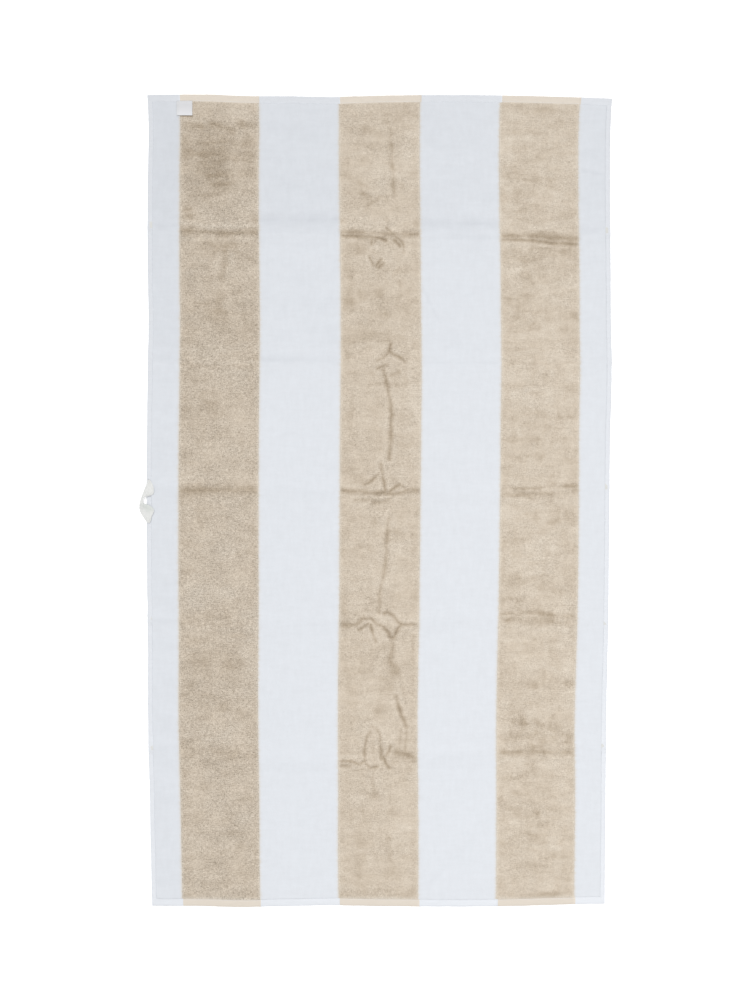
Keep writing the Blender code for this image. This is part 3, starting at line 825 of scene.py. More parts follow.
def relief_at(share):
    """Share of the folds' height on the upper surface: RELIEF_WHITE or RELIEF_SAND, eased at the borders."""
    sand = np.zeros(np.shape(share))
    for k, edge in enumerate(STRIPE_EDGES):
        sand += (1 - 2 * (k % 2)) * ease(np.clip((share - edge) * WIDTH / RELIEF_BLEND + 0.5, 0.0, 1.0))
    return RELIEF_WHITE + (RELIEF_SAND - RELIEF_WHITE) * sand


def stripe_strength(share, strengths):
    """The strength of the sand stripe that each share of the width lies in, and 0 in the white ones."""
    by_stripe = np.array([0.0, strengths[0], 0.0, strengths[1], 0.0, strengths[2], 0.0])
    return by_stripe[np.searchsorted(STRIPE_EDGES, share)]


def parted_at(share, x, y):
    """How far the pile is pressed apart, and how far it swells beside that, in millimetres.

    A trough is depth * worn * pinch(distance / half). Its two swellings are SWELL_RISE * depth high, at
    SWELL_AWAY * half from it. Where the depth is negative there is one swelling in the trough's place.
    """
    ragged_x = x + chance(x, y, RAGGED_X)
    ragged_y = y + chance(x, y, RAGGED_Y)
    troughs = []
    for k, (fold, offset_left, offset_right, half, strengths) in enumerate(FOLD_MARKS):
        offset = offset_left + (offset_right - offset_left) * share
        away = ragged_y - crest_y(fold, share) - offset
        width = 1.0 + chance(x, y, ((*MARK_WIDTH, MARK_SEED + k),))
        troughs.append((MARK_DEPTH * stripe_strength(share, strengths), away / (half * width)))
    for depth, half, corners in CREASES:
        troughs.append((depth, distance_to_run(ragged_x, ragged_y, corners) / half))
    parted = np.zeros(np.shape(x))
    swollen = np.zeros(np.shape(x))
    worn = WORN_MEAN + chance(x, y, WORN)
    for depth, away in troughs:
        parted = np.maximum(parted, depth * worn * pinch(away))
        beside = np.maximum(depth, 0.0) * SWELL_RISE * bump((np.abs(away) - SWELL_AWAY) / SWELL_HALF)
        swollen = np.maximum(swollen, np.maximum(beside, -0.5 * depth * bump(away)))
    return parted, np.maximum(swollen - 0.5 * parted, 0.0)


def lean_at(x, y, roughness):
    """Painted light and shade with the own tone of the pile's lie, dark below 0 and light above: the patches
    of LEANS, wavering, and streaks.
    """
    x = x + chance(x, y, WAVER_X)
    y = y + chance(x, y, WAVER_Y)
    lean = np.zeros(np.shape(x))
    for middle_x, middle_y, half_x, half_y, tone in LEANS:
        lean += tone * bump(np.hypot((x - middle_x) / half_x, (y - middle_y) / half_y) / LEAN_SPREAD)
    streaks = chance(x, y, STREAKS)
    return LEAN_STRENGTH * lean * (1.0 + chance(x, y, BROKEN)) + roughness * streaks


def panel_painted_light(share, y):
    """Painted light of the panel that each point lies in, changing over a few millimetres at each fold."""
    tone = np.full(np.shape(y), PANEL_PAINTED_LIGHT[-1])
    for fold in range(len(FOLD_CRESTS)):
        below = np.clip(0.5 - (y - crest_y(fold, share)) / PANEL_BLEND, 0.0, 1.0)
        tone += below * (PANEL_PAINTED_LIGHT[4 - fold] - PANEL_PAINTED_LIGHT[5 - fold])
    return tone


def make_piece(name, points, faces, finishes, values=None, face_finish=None, bake_uv=None):
    """A smooth mesh piece on the root body, from points in the tables' millimetres.

    values are named numbers kept at its points for the finish to read, and bake_uv its own flat map.
    """
    moved = (np.asarray(points, float) - (*BOX_MIDDLE, 0.0)) * MM
    mesh = bpy.data.meshes.new(name)
    mesh.from_pydata(moved.tolist(), [], faces)
    for finish in finishes:
        mesh.materials.append(finish)
    if face_finish is not None:
        mesh.polygons.foreach_set("material_index", np.asarray(face_finish, np.int32))
    for key, numbers in (values or {}).items():
        layer = mesh.attributes.new(key, "FLOAT", "POINT")
        layer.data.foreach_set("value", np.asarray(numbers, np.float32).ravel())
    if bake_uv is not None:
        layer = mesh.uv_layers.new(name="OFBake")
        layer.data.foreach_set("uv", np.asarray(bake_uv, np.float32).ravel())
    mesh.shade_smooth()
    mesh.set_sharp_from_angle(angle=np.radians(60))
    piece = bpy.data.objects.new(name, mesh)
    bpy.context.collection.objects.link(piece)
    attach(piece, "root")
    return piece


def two_sides(upper, lower):
    """Points of a sheet from the x, y and z grids of its upper side, then those of its underside."""
    grids = [np.stack(np.broadcast_arrays(*side), axis=-1) for side in (upper, lower)]
    return np.concatenate([grid.reshape(-1, 3) for grid in grids])


def on_both(shape, **grids):
    """Values for both sides of a sheet from grids of one side, each spread to that shape."""
    return {key: np.tile(np.broadcast_to(grid, shape).ravel(), 2) for key, grid in grids.items()}


def grid_quads(rows, columns, first=0):
    """Corners of the quads of a grid of points, counter-clockwise when rows run up and columns run right."""
    grid = first + np.arange(rows * columns).reshape(rows, columns)
    return np.stack([grid[:-1, :-1], grid[:-1, 1:], grid[1:, 1:], grid[1:, :-1]], axis=-1).reshape(-1, 4)


def slab_faces(rows, columns):
    """Faces of a closed slab whose top and bottom are grids: top points first, then the bottom ones."""
    top = np.arange(rows * columns).reshape(rows, columns)
    under = rows * columns
    rim = np.concatenate([top[0, :-1], top[:-1, -1], top[-1, :0:-1], top[:0:-1, 0]])
    ahead = np.roll(rim, -1)
    walls = np.stack([rim, rim + under, ahead + under, ahead], axis=-1)
    underside = grid_quads(rows, columns, under)[:, ::-1]
    return np.concatenate([grid_quads(rows, columns), underside, walls]).tolist()


def margin_lines(first, last, step, near):
    """Places from first to last: the near offsets in from both ends, and even steps of about that size."""
    inner_first = first + near[-1]
    inner_last = last - near[-1]
    count = max(2, int(round((inner_last - inner_first) / step)))
    inner = np.linspace(inner_first, inner_last, count + 1)
    return np.concatenate([first + np.array(near[:-1]), inner, last - np.array(near[:-1])[::-1]])


def lines_along(first, last, near, fine, coarse):
    """Places along the towel: fine steps from below to above each fold, coarse ones elsewhere."""
    edges = [first + near[-1]]
    for crests in reversed(FOLD_CRESTS):
        middle = np.mean(crests) + LENGTH / 2
        edges.extend([middle - FINE_BELOW, middle + FINE_ABOVE])
    edges.append(last - near[-1])
    runs = [first + np.array(near)]
    for k, (low, high) in enumerate(zip(edges[:-1], edges[1:])):
        step = fine if k % 2 else coarse
        runs.append(np.linspace(low, high, int(round((high - low) / step)) + 1)[1:])
    runs.append(last - np.array(near[:-1])[::-1])
    return np.concatenate(runs)


def strip_uv(left, right, low, high):
    """Flat map of quads up a strip from u = left to u = right: from low left, turning towards low right."""
    corners = ((left, low), (right, low), (right, high), (left, high))
    return np.stack([np.stack([np.full_like(v, u), v], axis=-1) for u, v in corners], axis=1)


def band_bake_uv(rows, columns, kept, sections):
    """Flat map of a band: its length in sections side by side, and its walls and underside in thin strips.

    It follows the order of band_faces. Each face's corners are placed together, so none crosses a section.
    """
    row, col = np.meshgrid(np.arange(rows - 1), np.arange(columns - 1), indexing="ij")
    per = int(np.ceil((rows - 1) / sections))
    section = row // per
    corner_row = np.stack([row, row, row + 1, row + 1], axis=-1)
    corner_col = np.stack([col, col + 1, col + 1, col], axis=-1)
    u = (section[..., None] + 0.02 + 0.96 * corner_col / (columns - 1)) / sections * 0.96
    v = 0.004 + 0.99 * (corner_row - (section * per)[..., None]) / per
    low = np.arange(rows - 1) / (rows - 1)
    high = np.arange(1, rows) / (rows - 1)
    edges = 0.966 + 0.012 * np.arange(len(kept)) / (len(kept) - 1)
    under = [strip_uv(a, b, low, high)[:, [0, 3, 2, 1]] for a, b in zip(edges[:-1], edges[1:])]
    walls = [strip_uv(a, a + 0.005, low, high) for a in (0.984, 0.991)]
    ends = []
    for v0 in (0.0005, 0.9985):
        for start, stop in zip(kept[:-1], kept[1:]):
            s = 0.9 * np.arange(start, stop + 1) / (columns - 1)
            ends.append(np.stack([s, np.full_like(s, v0 + 0.001)], axis=-1))
            ends.append(np.array([[s[-1], v0], [s[0], v0]]))
    parts = [np.stack([u, v], axis=-1), np.stack(under, axis=1), *walls, *ends]
    return np.concatenate([part.reshape(-1, 2) for part in parts])


def band_faces(rows, columns, kept):
    """Faces of a closed band: its fine top, an underside of the kept columns alone, side and end walls."""
    count = len(kept)
    top = np.arange(rows * columns).reshape(rows, columns)
    under = rows * columns + np.arange(rows * count).reshape(rows, count)
    quads = [grid_quads(rows, columns), grid_quads(rows, count, rows * columns)[:, [0, 3, 2, 1]]]
    quads.append(np.stack([under[:-1, 0], top[:-1, 0], top[1:, 0], under[1:, 0]], axis=-1))
    quads.append(np.stack([top[:-1, -1], under[:-1, -1], under[1:, -1], top[1:, -1]], axis=-1))
    faces = np.concatenate(quads).tolist()
    for row, way in ((0, -1), (rows - 1, 1)):
        for k in range(count - 1):
            upper = top[row, kept[k] : kept[k + 1] + 1]
            faces.append(np.concatenate([upper, [under[row, k + 1], under[row, k]]])[::way].tolist())
    return faces


def pile_band(name, first_share, last_share, steps, finish, roughness, tone, grain):
    """One stripe of pile over the places across and along it.

    Its top is relief * lift + thickness - parting + swelling + loops + lean, less the rounding of its edges.
    """
    first = SIDE_HEM - HEM_OVERLAP if first_share == 0.0 else first_share * WIDTH + BAND_GAP
    last = WIDTH - SIDE_HEM + HEM_OVERLAP if last_share == 1.0 else last_share * WIDTH - BAND_GAP
    across = margin_lines(first, last, steps[0], BAND_MARGIN)
    along = lines_along(END_HEM - HEM_OVERLAP, LENGTH - END_HEM + HEM_OVERLAP, BAND_MARGIN, *steps[1:])
    nominal_x, nominal_y = np.meshgrid(across, along)
    share = nominal_x / WIDTH
    x, y = lie_down(nominal_x, nominal_y)
    to_left = nominal_x - first
    to_right = last - nominal_x
    to_bottom = nominal_y - along[0]
    to_top = along[-1] - nominal_y

    side = np.minimum(to_left, to_right)
    end = np.minimum(to_bottom, to_top)
    inwards = 1.0 - np.clip(np.minimum(side, end) / BAND_ROUND, 0.0, 1.0)
    by_hem = (end < side) | (share < BY_SIDE_HEM) | (share > 1.0 - BY_SIDE_HEM)
    rounding = np.where(by_hem, BAND_FALL, BORDER_FALL) * (1.0 - np.sqrt(np.maximum(1.0 - inwards**2, 0.0)))
    parted, swollen = parted_at(np.clip(share, first_share + 1e-4, last_share - 1e-4), x, y)
    # Swellings beside the pressed lines are painted paler through the lean: a painted highlight
    lean = lean_at(x, y, roughness) + SWELL_PAINTED_LIGHT * swollen
    lift = lift_at(share, x, y)
    relieved = relief_at(share) * lift_at(share, x, y, RELIEF_REACH)
    loops = min(grain, LOOPS_MOST) * chance(x, y, LOOPS)
    top = relieved + PILE_THICKNESS - PARTED_SINK * parted + swollen + loops + LEAN_RISE * np.tanh(lean)
    top = rest_on(top, lift + PILE_LEAST, PILE_SETTLE) - rounding
    kept = np.round(np.linspace(0, len(across) - 1, UNDER_LINES)).astype(int)
    if first_share < 0.5 < last_share:
        kept = np.searchsorted(across, [across[0], *(WIDTH / 2 + np.array(CREASE_LINES)), across[-1]])
    under = lift[:, kept] + BAND_ROOT

    borders = [np.full(x.shape, NO_BORDER)]
    if first_share > 0.0:
        borders.append(to_left)
    if last_share < 1.0:
        borders.append(to_right)
    if finish.name == "sand_terry":
        borders += [END_MIX_BOTTOM * to_bottom, END_MIX_TOP[0] + END_MIX_TOP[1] * to_top]
    # For the finish: lean holds the band's tone with painted light and shade, parted paints shade in the
    # pressed lines, and panel is the panels' painted light
    shown = {
        "lean": lean + tone,
        "parted": parted,
        "panel": panel_painted_light(share, y),
        "border": np.minimum.reduce(borders),
        "grain": grain * (1.0 + chance(x, y, COARSE)),
    }
    values = {key: np.concatenate([numbers.ravel(), np.zeros(under.size)]) for key, numbers in shown.items()}
    points = two_sides((x, y, top), (x[:, kept], y[:, kept], under))
    bake_uv = band_bake_uv(*x.shape, kept, 3)
    return make_piece(name, points, band_faces(*x.shape, kept), [finish], values, bake_uv=bake_uv)


def ground_cloth(weave, underside):
    """The woven cloth under the pile: a closed sheet, its underside on the floor apart from the folds.

    Height of its top = lift + thickness, and it is thinner inside the hems.
    """
    across = margin_lines(TUCK, WIDTH - TUCK, GROUND_STEPS[0], GROUND_MARGIN)
    along = lines_along(TUCK, LENGTH - TUCK, GROUND_MARGIN, *GROUND_STEPS[1:])
    nominal_x, nominal_y = np.meshgrid(across, along)
    x, y = lie_down(nominal_x, nominal_y)
    share = nominal_x / WIDTH
    lift = lift_at(share, x, y)
    side = np.minimum(nominal_x, WIDTH - nominal_x) - TUCK
    end = np.minimum(nominal_y, LENGTH - nominal_y) - TUCK
    in_hem = 1.0 - np.clip(np.minimum(side / THIN_BY_SIDE, end / THIN_BY_END), 0.0, 1.0)
    top = lift + GROUND_THICKNESS - THIN_ABOVE * in_hem
    points = two_sides((x, y, top), (x, y, lift + THIN_BELOW * in_hem))
    faces = slab_faces(*x.shape)
    quads = (x.shape[0] - 1) * (x.shape[1] - 1)
    which = np.zeros(len(faces), int)
    which[quads : 2 * quads] = 1
    values = on_both(x.shape, share=share, lean=lean_at(-x, y + BACK_SHIFT, 1.0))
    # Flat map: the underside, the hidden top and the rim side by side
    corner = np.array(faces)
    u = np.tile(((nominal_x - TUCK) / (WIDTH - 2 * TUCK)).ravel(), 2)[corner]
    v = np.tile(((nominal_y - TUCK) / (LENGTH - 2 * TUCK)).ravel(), 2)[corner]
    u[:quads] = 0.91 + 0.07 * u[:quads]
    u[quads : 2 * quads] *= 0.90
    u[2 * quads :] = 0.985 + 0.01 * (np.arange(4) % 3 > 0)
    bake_uv = np.stack([u, 0.002 + 0.996 * v], axis=-1)
    return make_piece("ground_cloth", points, faces, [weave, underside], values, which, bake_uv)


def hem_place(side, end, from_edge, station):
    """Places across and along the towel, from a distance to a hem's edge and a station along that hem."""
    if side:
        return (from_edge if side < 0 else WIDTH - from_edge), station
    return station, (from_edge if end < 0 else LENGTH - from_edge)


def hem(name, finish, side, end, share_of_height):
    """A turned hem: HEM_SECTION carried along a side (side -1 or 1) or an end (end -1 or 1) of the cloth.

    Height of its surface = relief * lift + thickness * height share + pucker, squeezed towards its middle
    at both ends of the run.
    """
    from_outside, upper = np.array(HEM_SECTION).T
    width = SIDE_HEM if side else END_HEM
    run = LENGTH if side else WIDTH
    first = END_HEM - HEM_LAP if side else 0.0
    stations = np.linspace(first, run - first, int(run / HEM_STEP))
    inwards, station = np.meshgrid(from_outside * width, stations)
    set_in = np.where(from_outside < 0.5, np.maximum(chance(station, station, HEM_WOBBLE), -HEM_OUT), 0.0)
    across, along = hem_place(side, end, inwards + set_in, station)
    x, y = lie_down(across, along)
    share = across / WIDTH
    pucker = chance(station, inwards, HEM_PUCKER) * np.clip(upper * 2 - 0.8, 0, 1)
    near_corner = np.minimum(station - first, run - first - station)
    squeeze = 1.0 - 0.5 * np.clip(1.0 - near_corner / HEM_CLOSING, 0.0, 1.0) ** 2
    middle = 0.5 * HEM_THICKNESS
    height = middle + (HEM_THICKNESS * share_of_height * upper + pucker - middle) * squeeze
    relieved = lift_at(share, x, y) * (1.0 - (1.0 - RELIEF_HEM) * upper)
    points = np.stack([x, y, relieved + height], axis=-1).reshape(-1, 3)

    rows, columns = x.shape
    way = 1 if side < 0 or end > 0 else -1
    ring = np.arange(rows * columns).reshape(rows, columns)
    ahead = np.roll(ring, -1, axis=1)
    walls = np.stack([ring[:-1], ahead[:-1], ahead[1:], ring[1:]], axis=-1).reshape(-1, 4)
    faces = [face[::way] for face in (*walls.tolist(), ring[0, ::-1].tolist(), ring[-1].tolist())]
    # Flat map: the long faces side by side, and the two end faces as small discs beside them
    row, col = np.meshgrid(np.arange(rows - 1), np.arange(columns), indexing="ij")
    u = np.stack([col, col + 1, col + 1, col], axis=-1) / columns
    v = np.stack([row, row, row + 1, row + 1], axis=-1) / (rows - 1)
    flat = np.stack([0.05 + 0.94 * u, 0.002 + 0.996 * v], axis=-1).reshape(-1, 4, 2)
    angle = np.linspace(0, 2 * np.pi, columns, endpoint=False)
    cap = np.stack([0.02 + 0.015 * np.cos(angle), 0.5 + 0.015 * np.sin(angle)], axis=-1)
    cap_first = cap[::-1] - (0.0, 0.2)
    bake_uv = np.concatenate([flat[:, ::way].reshape(-1, 2), cap_first[::way], cap[::way]])

    # The hems' paleness, with painted light along and across the towel and painted shade towards the outer
    # edge
    white, sand = (level + by_y * y + by_x * x for level, by_y, by_x in (HEM_TONE_AND_PAINTED_LIGHT_WHITE, HEM_TONE_AND_PAINTED_LIGHT_SAND))
    tone_and_painted_light = np.where(np.searchsorted(STRIPE_EDGES, share) % 2 == 1, sand, white)
    tone_and_painted_light = tone_and_painted_light + HEM_PAINTED_SHADE_INWARDS * (from_outside - 0.4)
    values = {"share": np.clip(share, 0.001, 0.999), "tone_and_painted_light": tone_and_painted_light}
    return make_piece(name, points, faces, [finish], values, bake_uv=bake_uv)


def thread_run(name, finish, middles, forwards, ups, length, thick, seed):
    """A run of stitches: each a small bead, oval across and pointed along, copied to every middle and turned.

    Point of a bead = middle + forwards * reach * cos(a)
    + radius * sin(a) * (sideways * cos(b) + 0.7 * up * sin(b)).
    """
    draw = np.random.default_rng(seed)
    count = len(middles)
    skew = draw.normal(0.0, STITCH_SKEW, (count, 1))
    forwards = forwards + np.cross(ups, forwards) * skew
    forwards /= np.linalg.norm(forwards, axis=1, keepdims=True)
    sideways = np.cross(ups, forwards)
    a = np.radians([38.0, 90.0, 142.0])[None, :, None, None]
    b = np.linspace(0.0, 2 * np.pi, 6, endpoint=False)[None, None, :, None]
    reach = (length * draw.uniform(*STITCH_REACH, count) / 2)[:, None, None, None]
    along = forwards[:, None, None, :] * np.cos(a) * reach
    around = sideways[:, None, None, :] * np.cos(b) + 0.7 * ups[:, None, None, :] * np.sin(b)
    rings = middles[:, None, None, :] + along + around * (thick / 2) * np.sin(a)
    tips = [middles + way * forwards * reach[:, 0, 0] for way in (1, -1)]
    points = np.concatenate([rings.reshape(count, 18, 3), *(tip[:, None] for tip in tips)], axis=1)
    one = np.arange(6)
    nxt = (one + 1) % 6
    quads = np.concatenate([np.stack([one + k, nxt + k, nxt + k + 6, one + k + 6], axis=-1) for k in (0, 6)])
    first_tip = np.stack([nxt, one, np.full(6, 18)], axis=-1)
    last_tip = np.stack([one + 12, nxt + 12, np.full(6, 19)], axis=-1)
    shift = 20 * np.arange(count)[:, None, None]
    faces = (quads + shift).reshape(-1, 4).tolist()
    faces += (np.concatenate([first_tip, last_tip]) + shift).reshape(-1, 3).tolist()
    return make_piece(name, points.reshape(-1, 3), faces, [finish])


def hem_thread(name, finish, side, end, seed):
    """The hem's lockstitch: stitches in the groove near the hem's inner edge."""
    run = LENGTH if side else WIDTH
    station = np.arange(STITCH_FIRST, run - STITCH_LAST, STITCH_PITCH)
    from_edge = np.full_like(station, STITCH_LINE * (SIDE_HEM if side else END_HEM))
    across, along = hem_place(side, end, from_edge, station)
    x, y = lie_down(across, along)
    z = RELIEF_HEM * lift_at(across / WIDTH, x, y) + HEM_THICKNESS * STITCH_HEIGHT
    middles = np.stack([x, y, z], axis=-1)
    forwards = np.gradient(middles, axis=0)
    forwards /= np.linalg.norm(forwards, axis=1, keepdims=True)
    ups = np.cross(forwards, np.cross((0.0, 0.0, 1.0), forwards))
    ups /= np.linalg.norm(ups, axis=1, keepdims=True)
    return thread_run(name, finish, middles, forwards, ups, STITCH_LENGTH, STITCH_THICK, seed)


def cloth_top(x, y):
    """Height of the cloth's top near its left side, coming down smoothly to 0 past its edge."""
    from_side = x - table_curve(y, SIDES, LEFT)
    share = np.clip(from_side / WIDTH, 0.0, 1.0)
    pile = np.clip((from_side - SIDE_HEM) / PILE_STEP, 0.0, 1.0)
    height = RELIEF_HEM * lift_at(share, x, y) + HEM_THICKNESS + (PILE_THICKNESS - HEM_THICKNESS) * pile
    return height * bump(np.minimum(from_side, 0.0) / TAPE_FALL)


def loop_tape(finish):
    """The hanging loop: a strip between its outer and inner edge curves, with round borders.

    Middle of the tape = outer + (inner - outer) * share + bulge * sin(pi * share), kept above the cloth.
    """
    sections = 150
    points_across = 15
    rows = np.array(TAPE_ROWS).T
    at = np.linspace(0.0, 1.0, sections)
    edges = np.stack([curve(at, np.linspace(0.0, 1.0, len(row)), row) for row in rows], axis=-1)
    outer = edges[:, None, :3]
    inner = edges[:, None, 3:6]
    even = np.linspace(0.0, 1.0, points_across)
    share = 0.55 * (0.5 - 0.5 * np.cos(np.pi * even)) + 0.45 * even
    across = share[None, :, None]
    middle = outer + (inner - outer) * across
    face_up = np.cross(np.gradient(middle, axis=1), -np.gradient(middle, axis=0))
    face_up /= np.linalg.norm(face_up, axis=-1, keepdims=True)
    middle = middle + face_up * edges[:, None, 6:] * np.sin(np.pi * across)
    rest = cloth_top(middle[..., 0], middle[..., 1]) + TAPE_REST
    middle[..., 2] = rest_on(middle[..., 2], rest, TAPE_SETTLE)
    thick = np.sqrt(np.maximum(1.0 - np.abs(2 * share - 1) ** 6, 0.12))[None, :, None]
    half = face_up * thick * TAPE_THICKNESS / 2
    points = np.concatenate([(middle + half).reshape(-1, 3), (middle - half).reshape(-1, 3)])
    values = on_both((sections, points_across), down=at[:, None] * TAPE_RUN, over=share * TAPE_SPAN)
    return make_piece("hanging_loop_tape", points, slab_faces(sections, points_across), [finish], values)


def loop_thread(finish):
    """Two bar tacks: short stitches side by side across the tape, where its two ends are sewn to the hem."""
    x = np.tile(TACK_X + np.linspace(-TACK_HALF, TACK_HALF, TACK_STITCHES), len(TACK_Y))
    y = np.repeat(TACK_Y, TACK_STITCHES)
    middles = np.stack([x, y, cloth_top(x, y) + TAPE_REST + TACK_HEIGHT], axis=-1)
    forwards = np.tile((0.0, 1.0, 0.0), (len(middles), 1))
    ups = np.tile((0.0, 0.0, 1.0), (len(middles), 1))
    return thread_run("loop_thread", finish, middles, forwards, ups, TACK_LENGTH, TACK_THICK, 8)


def label_flap(finish):
    """The blank label: a thin flap from the hem's seam, up onto the pile, with its free end curling up.

    Height of its underside = curve of LABEL_LIE + lean * share across * free share squared + ripple.
    """
    length = LABEL_LIE[-1][0]
    down = np.linspace(LABEL_LIE[0][0], length, 34)[:, None]
    across = np.linspace(0.0, 1.0, 32)[None, :]
    x = LABEL_X + LABEL_WIDTH * across + chance(down, down, LABEL_WAVER) * (across - 0.5)
    seam = table_curve((x + WIDTH / 2) / WIDTH, ENDS, TOP) - END_HEM
    y = seam - down * (1.0 + LABEL_SKEW * (across - 0.5))
    free = np.clip(down / length, 0.0, 1.0)
    ripple = chance(x, y, LABEL_RIPPLE) * free
    under = table_curve(down, LABEL_LIE, 1) + LABEL_LEAN * across * free**2 + ripple
    side = np.minimum(across, 1.0 - across) * LABEL_WIDTH
    edge = np.clip(np.minimum(side, length - down) / LABEL_EDGE, 0.0, 1.0)
    thick = LABEL_THICKNESS * (0.45 + 0.55 * np.sqrt(1.0 - (1.0 - edge) ** 2))
    points = two_sides((x, y, under + thick), (x, y, under))
    faces = [face[::-1] for face in slab_faces(*x.shape)]
    values = on_both(x.shape, down=down, over=across * LABEL_WIDTH)
    return make_piece("care_label_flap", points, faces, [finish], values)


def new_finish(name, roughness, sheen):
    """A cloth material, its nodes and its shader: rough, without metal, with a soft sheen."""
    made = bpy.data.materials.new(name)
    made.use_nodes = True
    shader = made.node_tree.nodes["Principled BSDF"]
    shader.inputs["Roughness"].default_value = roughness
    shader.inputs["Metallic"].default_value = 0.0
    shader.inputs["Specular IOR Level"].default_value = 0.25
    shader.inputs["Sheen Weight"].default_value = sheen
    shader.inputs["Sheen Roughness"].default_value = 0.55
    return made, made.node_tree, shader


def add(tree, kind, inputs=(), **settings):
    """A node of that kind. Its inputs are pairs of a name or number and a value or another node's output."""
    node = tree.nodes.new("ShaderNode" + kind)
    for key, value in settings.items():
        setattr(node, key, value)
    for key, value in inputs:
        if isinstance(value, bpy.types.NodeSocket):
            tree.links.new(value, node.inputs[key])
        else:
            node.inputs[key].default_value = value
    return node


def number(tree, operation, *parts):
    """A number worked out from numbers or from other nodes' outputs."""
    return add(tree, "Math", enumerate(parts), operation=operation).outputs[0]


def colours(tree, operation, *parts):
    """A colour worked out from colours or from other nodes' outputs."""
    return add(tree, "VectorMath", enumerate(parts), operation=operation).outputs[0]


def reading(tree, name):
    """The number that a piece's points keep under that name."""
    return add(tree, "Attribute", attribute_name=name).outputs["Fac"]


def place(tree, stretch=(1.0, 1.0, 1.0)):
    """The piece's own coordinates, stretched."""
    own = add(tree, "TexCoord").outputs["Object"]
    return add(tree, "Mapping", (("Vector", own), ("Scale", stretch))).outputs[0]


def mottle(tree, where, scale, detail=2.0, rough=0.5):
    """Chance value about 0, from -0.5 to 0.5, in spots of 1/scale metres."""
    spots = (("Vector", where), ("Scale", scale), ("Detail", detail), ("Roughness", rough))
    return number(tree, "SUBTRACT", add(tree, "TexNoise", spots).outputs["Fac"], 0.5)


def ramp(tree, value, stops, interpolation="LINEAR"):
    """The colour at a value between stops, each a position and a colour, or one number for a grey."""
    node = add(tree, "ValToRGB", ((0, value),))
    node.color_ramp.interpolation = interpolation
    while len(node.color_ramp.elements) < len(stops):
        node.color_ramp.elements.new(0.5)
    for element, (position, colour) in zip(node.color_ramp.elements, stops):
        element.position = position
        element.color = (*np.broadcast_to(colour, 3), 1.0)
    return node.outputs["Color"]


def weighted(tree, first, *parts):
    """The sum of a number and of values each times its weight."""
    total = first
    for value, weight in parts:
        total = number(tree, "MULTIPLY_ADD", value, weight, total)
    return total


def tinted(tree, colour, amount):
    """The colour made lighter or darker by a chance value: colour times (1 + amount)."""
    return colours(tree, "MULTIPLY", colour, colours(tree, "ADD", amount, (1.0, 1.0, 1.0)))


def striped(tree, yarns):
    """The cloth's seven stripes, white and sand in turn, by the share of the width kept at its points."""
    stops = [(edge, yarns[k % 2]) for k, edge in enumerate((0.0, *STRIPE_EDGES))]
    return ramp(tree, reading(tree, "share"), stops, "CONSTANT")


def joined(finish, colour, height, strength, depth):
    """The material, once a colour and a height raised by that depth in metres are joined to its shader."""
    made, tree, shader = finish
    tree.links.new(colour, shader.inputs["Base Color"])
    raised = add(tree, "Bump", (("Strength", strength), ("Distance", depth), ("Height", height)))
    tree.links.new(raised.outputs["Normal"], shader.inputs["Normal"])
    return made


def terry(name, stops, weights, grains, depth, other):
    """Cotton terry: loops of about 1.5 mm in rows, darker with painted shade where the pile is parted, and
    darker or paler with painted light and shade where it leans or by its panel.

    The grain is made of chance streaks along the rows and across them, fine and coarse. Next to a stripe
    border the loops of the other yarn, whose colour is given, are mixed in more and more.
    """
    finish = new_finish(name, 0.96, 0.12)
    tree = finish[1]
    cells = (("Vector", place(tree, LOOP_STRETCH)), ("Scale", LOOP_SCALE), ("Randomness", 0.85))
    loops = number(tree, "SUBTRACT", 0.47, add(tree, "TexVoronoi", cells).outputs["Distance"])
    fine_rows = mottle(tree, place(tree, (0.48, 1.5, 1.0)), 330.0, 2.0, 0.65)
    fine_lines = mottle(tree, place(tree, (1.5, 0.48, 1.0)), 330.0, 2.0, 0.65)
    broad_rows = mottle(tree, place(tree, (0.42, 1.5, 1.0)), 95.0, 2.0, 0.6)
    broad_lines = mottle(tree, place(tree, (1.5, 0.5, 1.0)), 80.0, 2.0, 0.6)
    tone = weighted(tree, 0.5, *((reading(tree, key), weight) for key, weight in weights.items()))
    loop_grain, row_grain, line_grain, broad_row_grain, broad_line_grain = grains
    fine = weighted(tree, 0.0, (loops, loop_grain), (fine_rows, row_grain), (fine_lines, line_grain))
    fine = number(tree, "MULTIPLY", fine, number(tree, "MINIMUM", reading(tree, "grain"), GRAIN_MOST))
    amount = weighted(tree, fine, (broad_rows, broad_row_grain), (broad_lines, broad_line_grain))
    ragged = weighted(tree, reading(tree, "border"), (fine_rows, 6.0), (broad_rows, 4.0))
    share = ramp(tree, number(tree, "MULTIPLY", ragged, 0.1), MIXED_STOPS)
    mix = ((0, share), (6, ramp(tree, tone, stops)), (7, (*other, 1.0)))
    colour = add(tree, "Mix", mix, data_type="RGBA").outputs[2]
    colour = tinted(tree, colour, colours(tree, "MULTIPLY", amount, GRAIN_HUE))
    height = weighted(tree, loops, (fine_rows, 0.8), (fine_lines, 0.8))
    height = number(tree, "MULTIPLY", height, reading(tree, "grain"))
    return joined(finish, colour, height, 1.0, depth)


def ribs(tree, where, scale, wavy, detail=2.0, direction="X"):
    """Even ribs, from 0 to 1, that follow each other in that direction and waver a little."""
    shape = (("Vector", where), ("Scale", scale), ("Distortion", wavy), ("Detail", detail))
    return add(tree, "TexWave", shape, bands_direction=direction).outputs["Fac"]


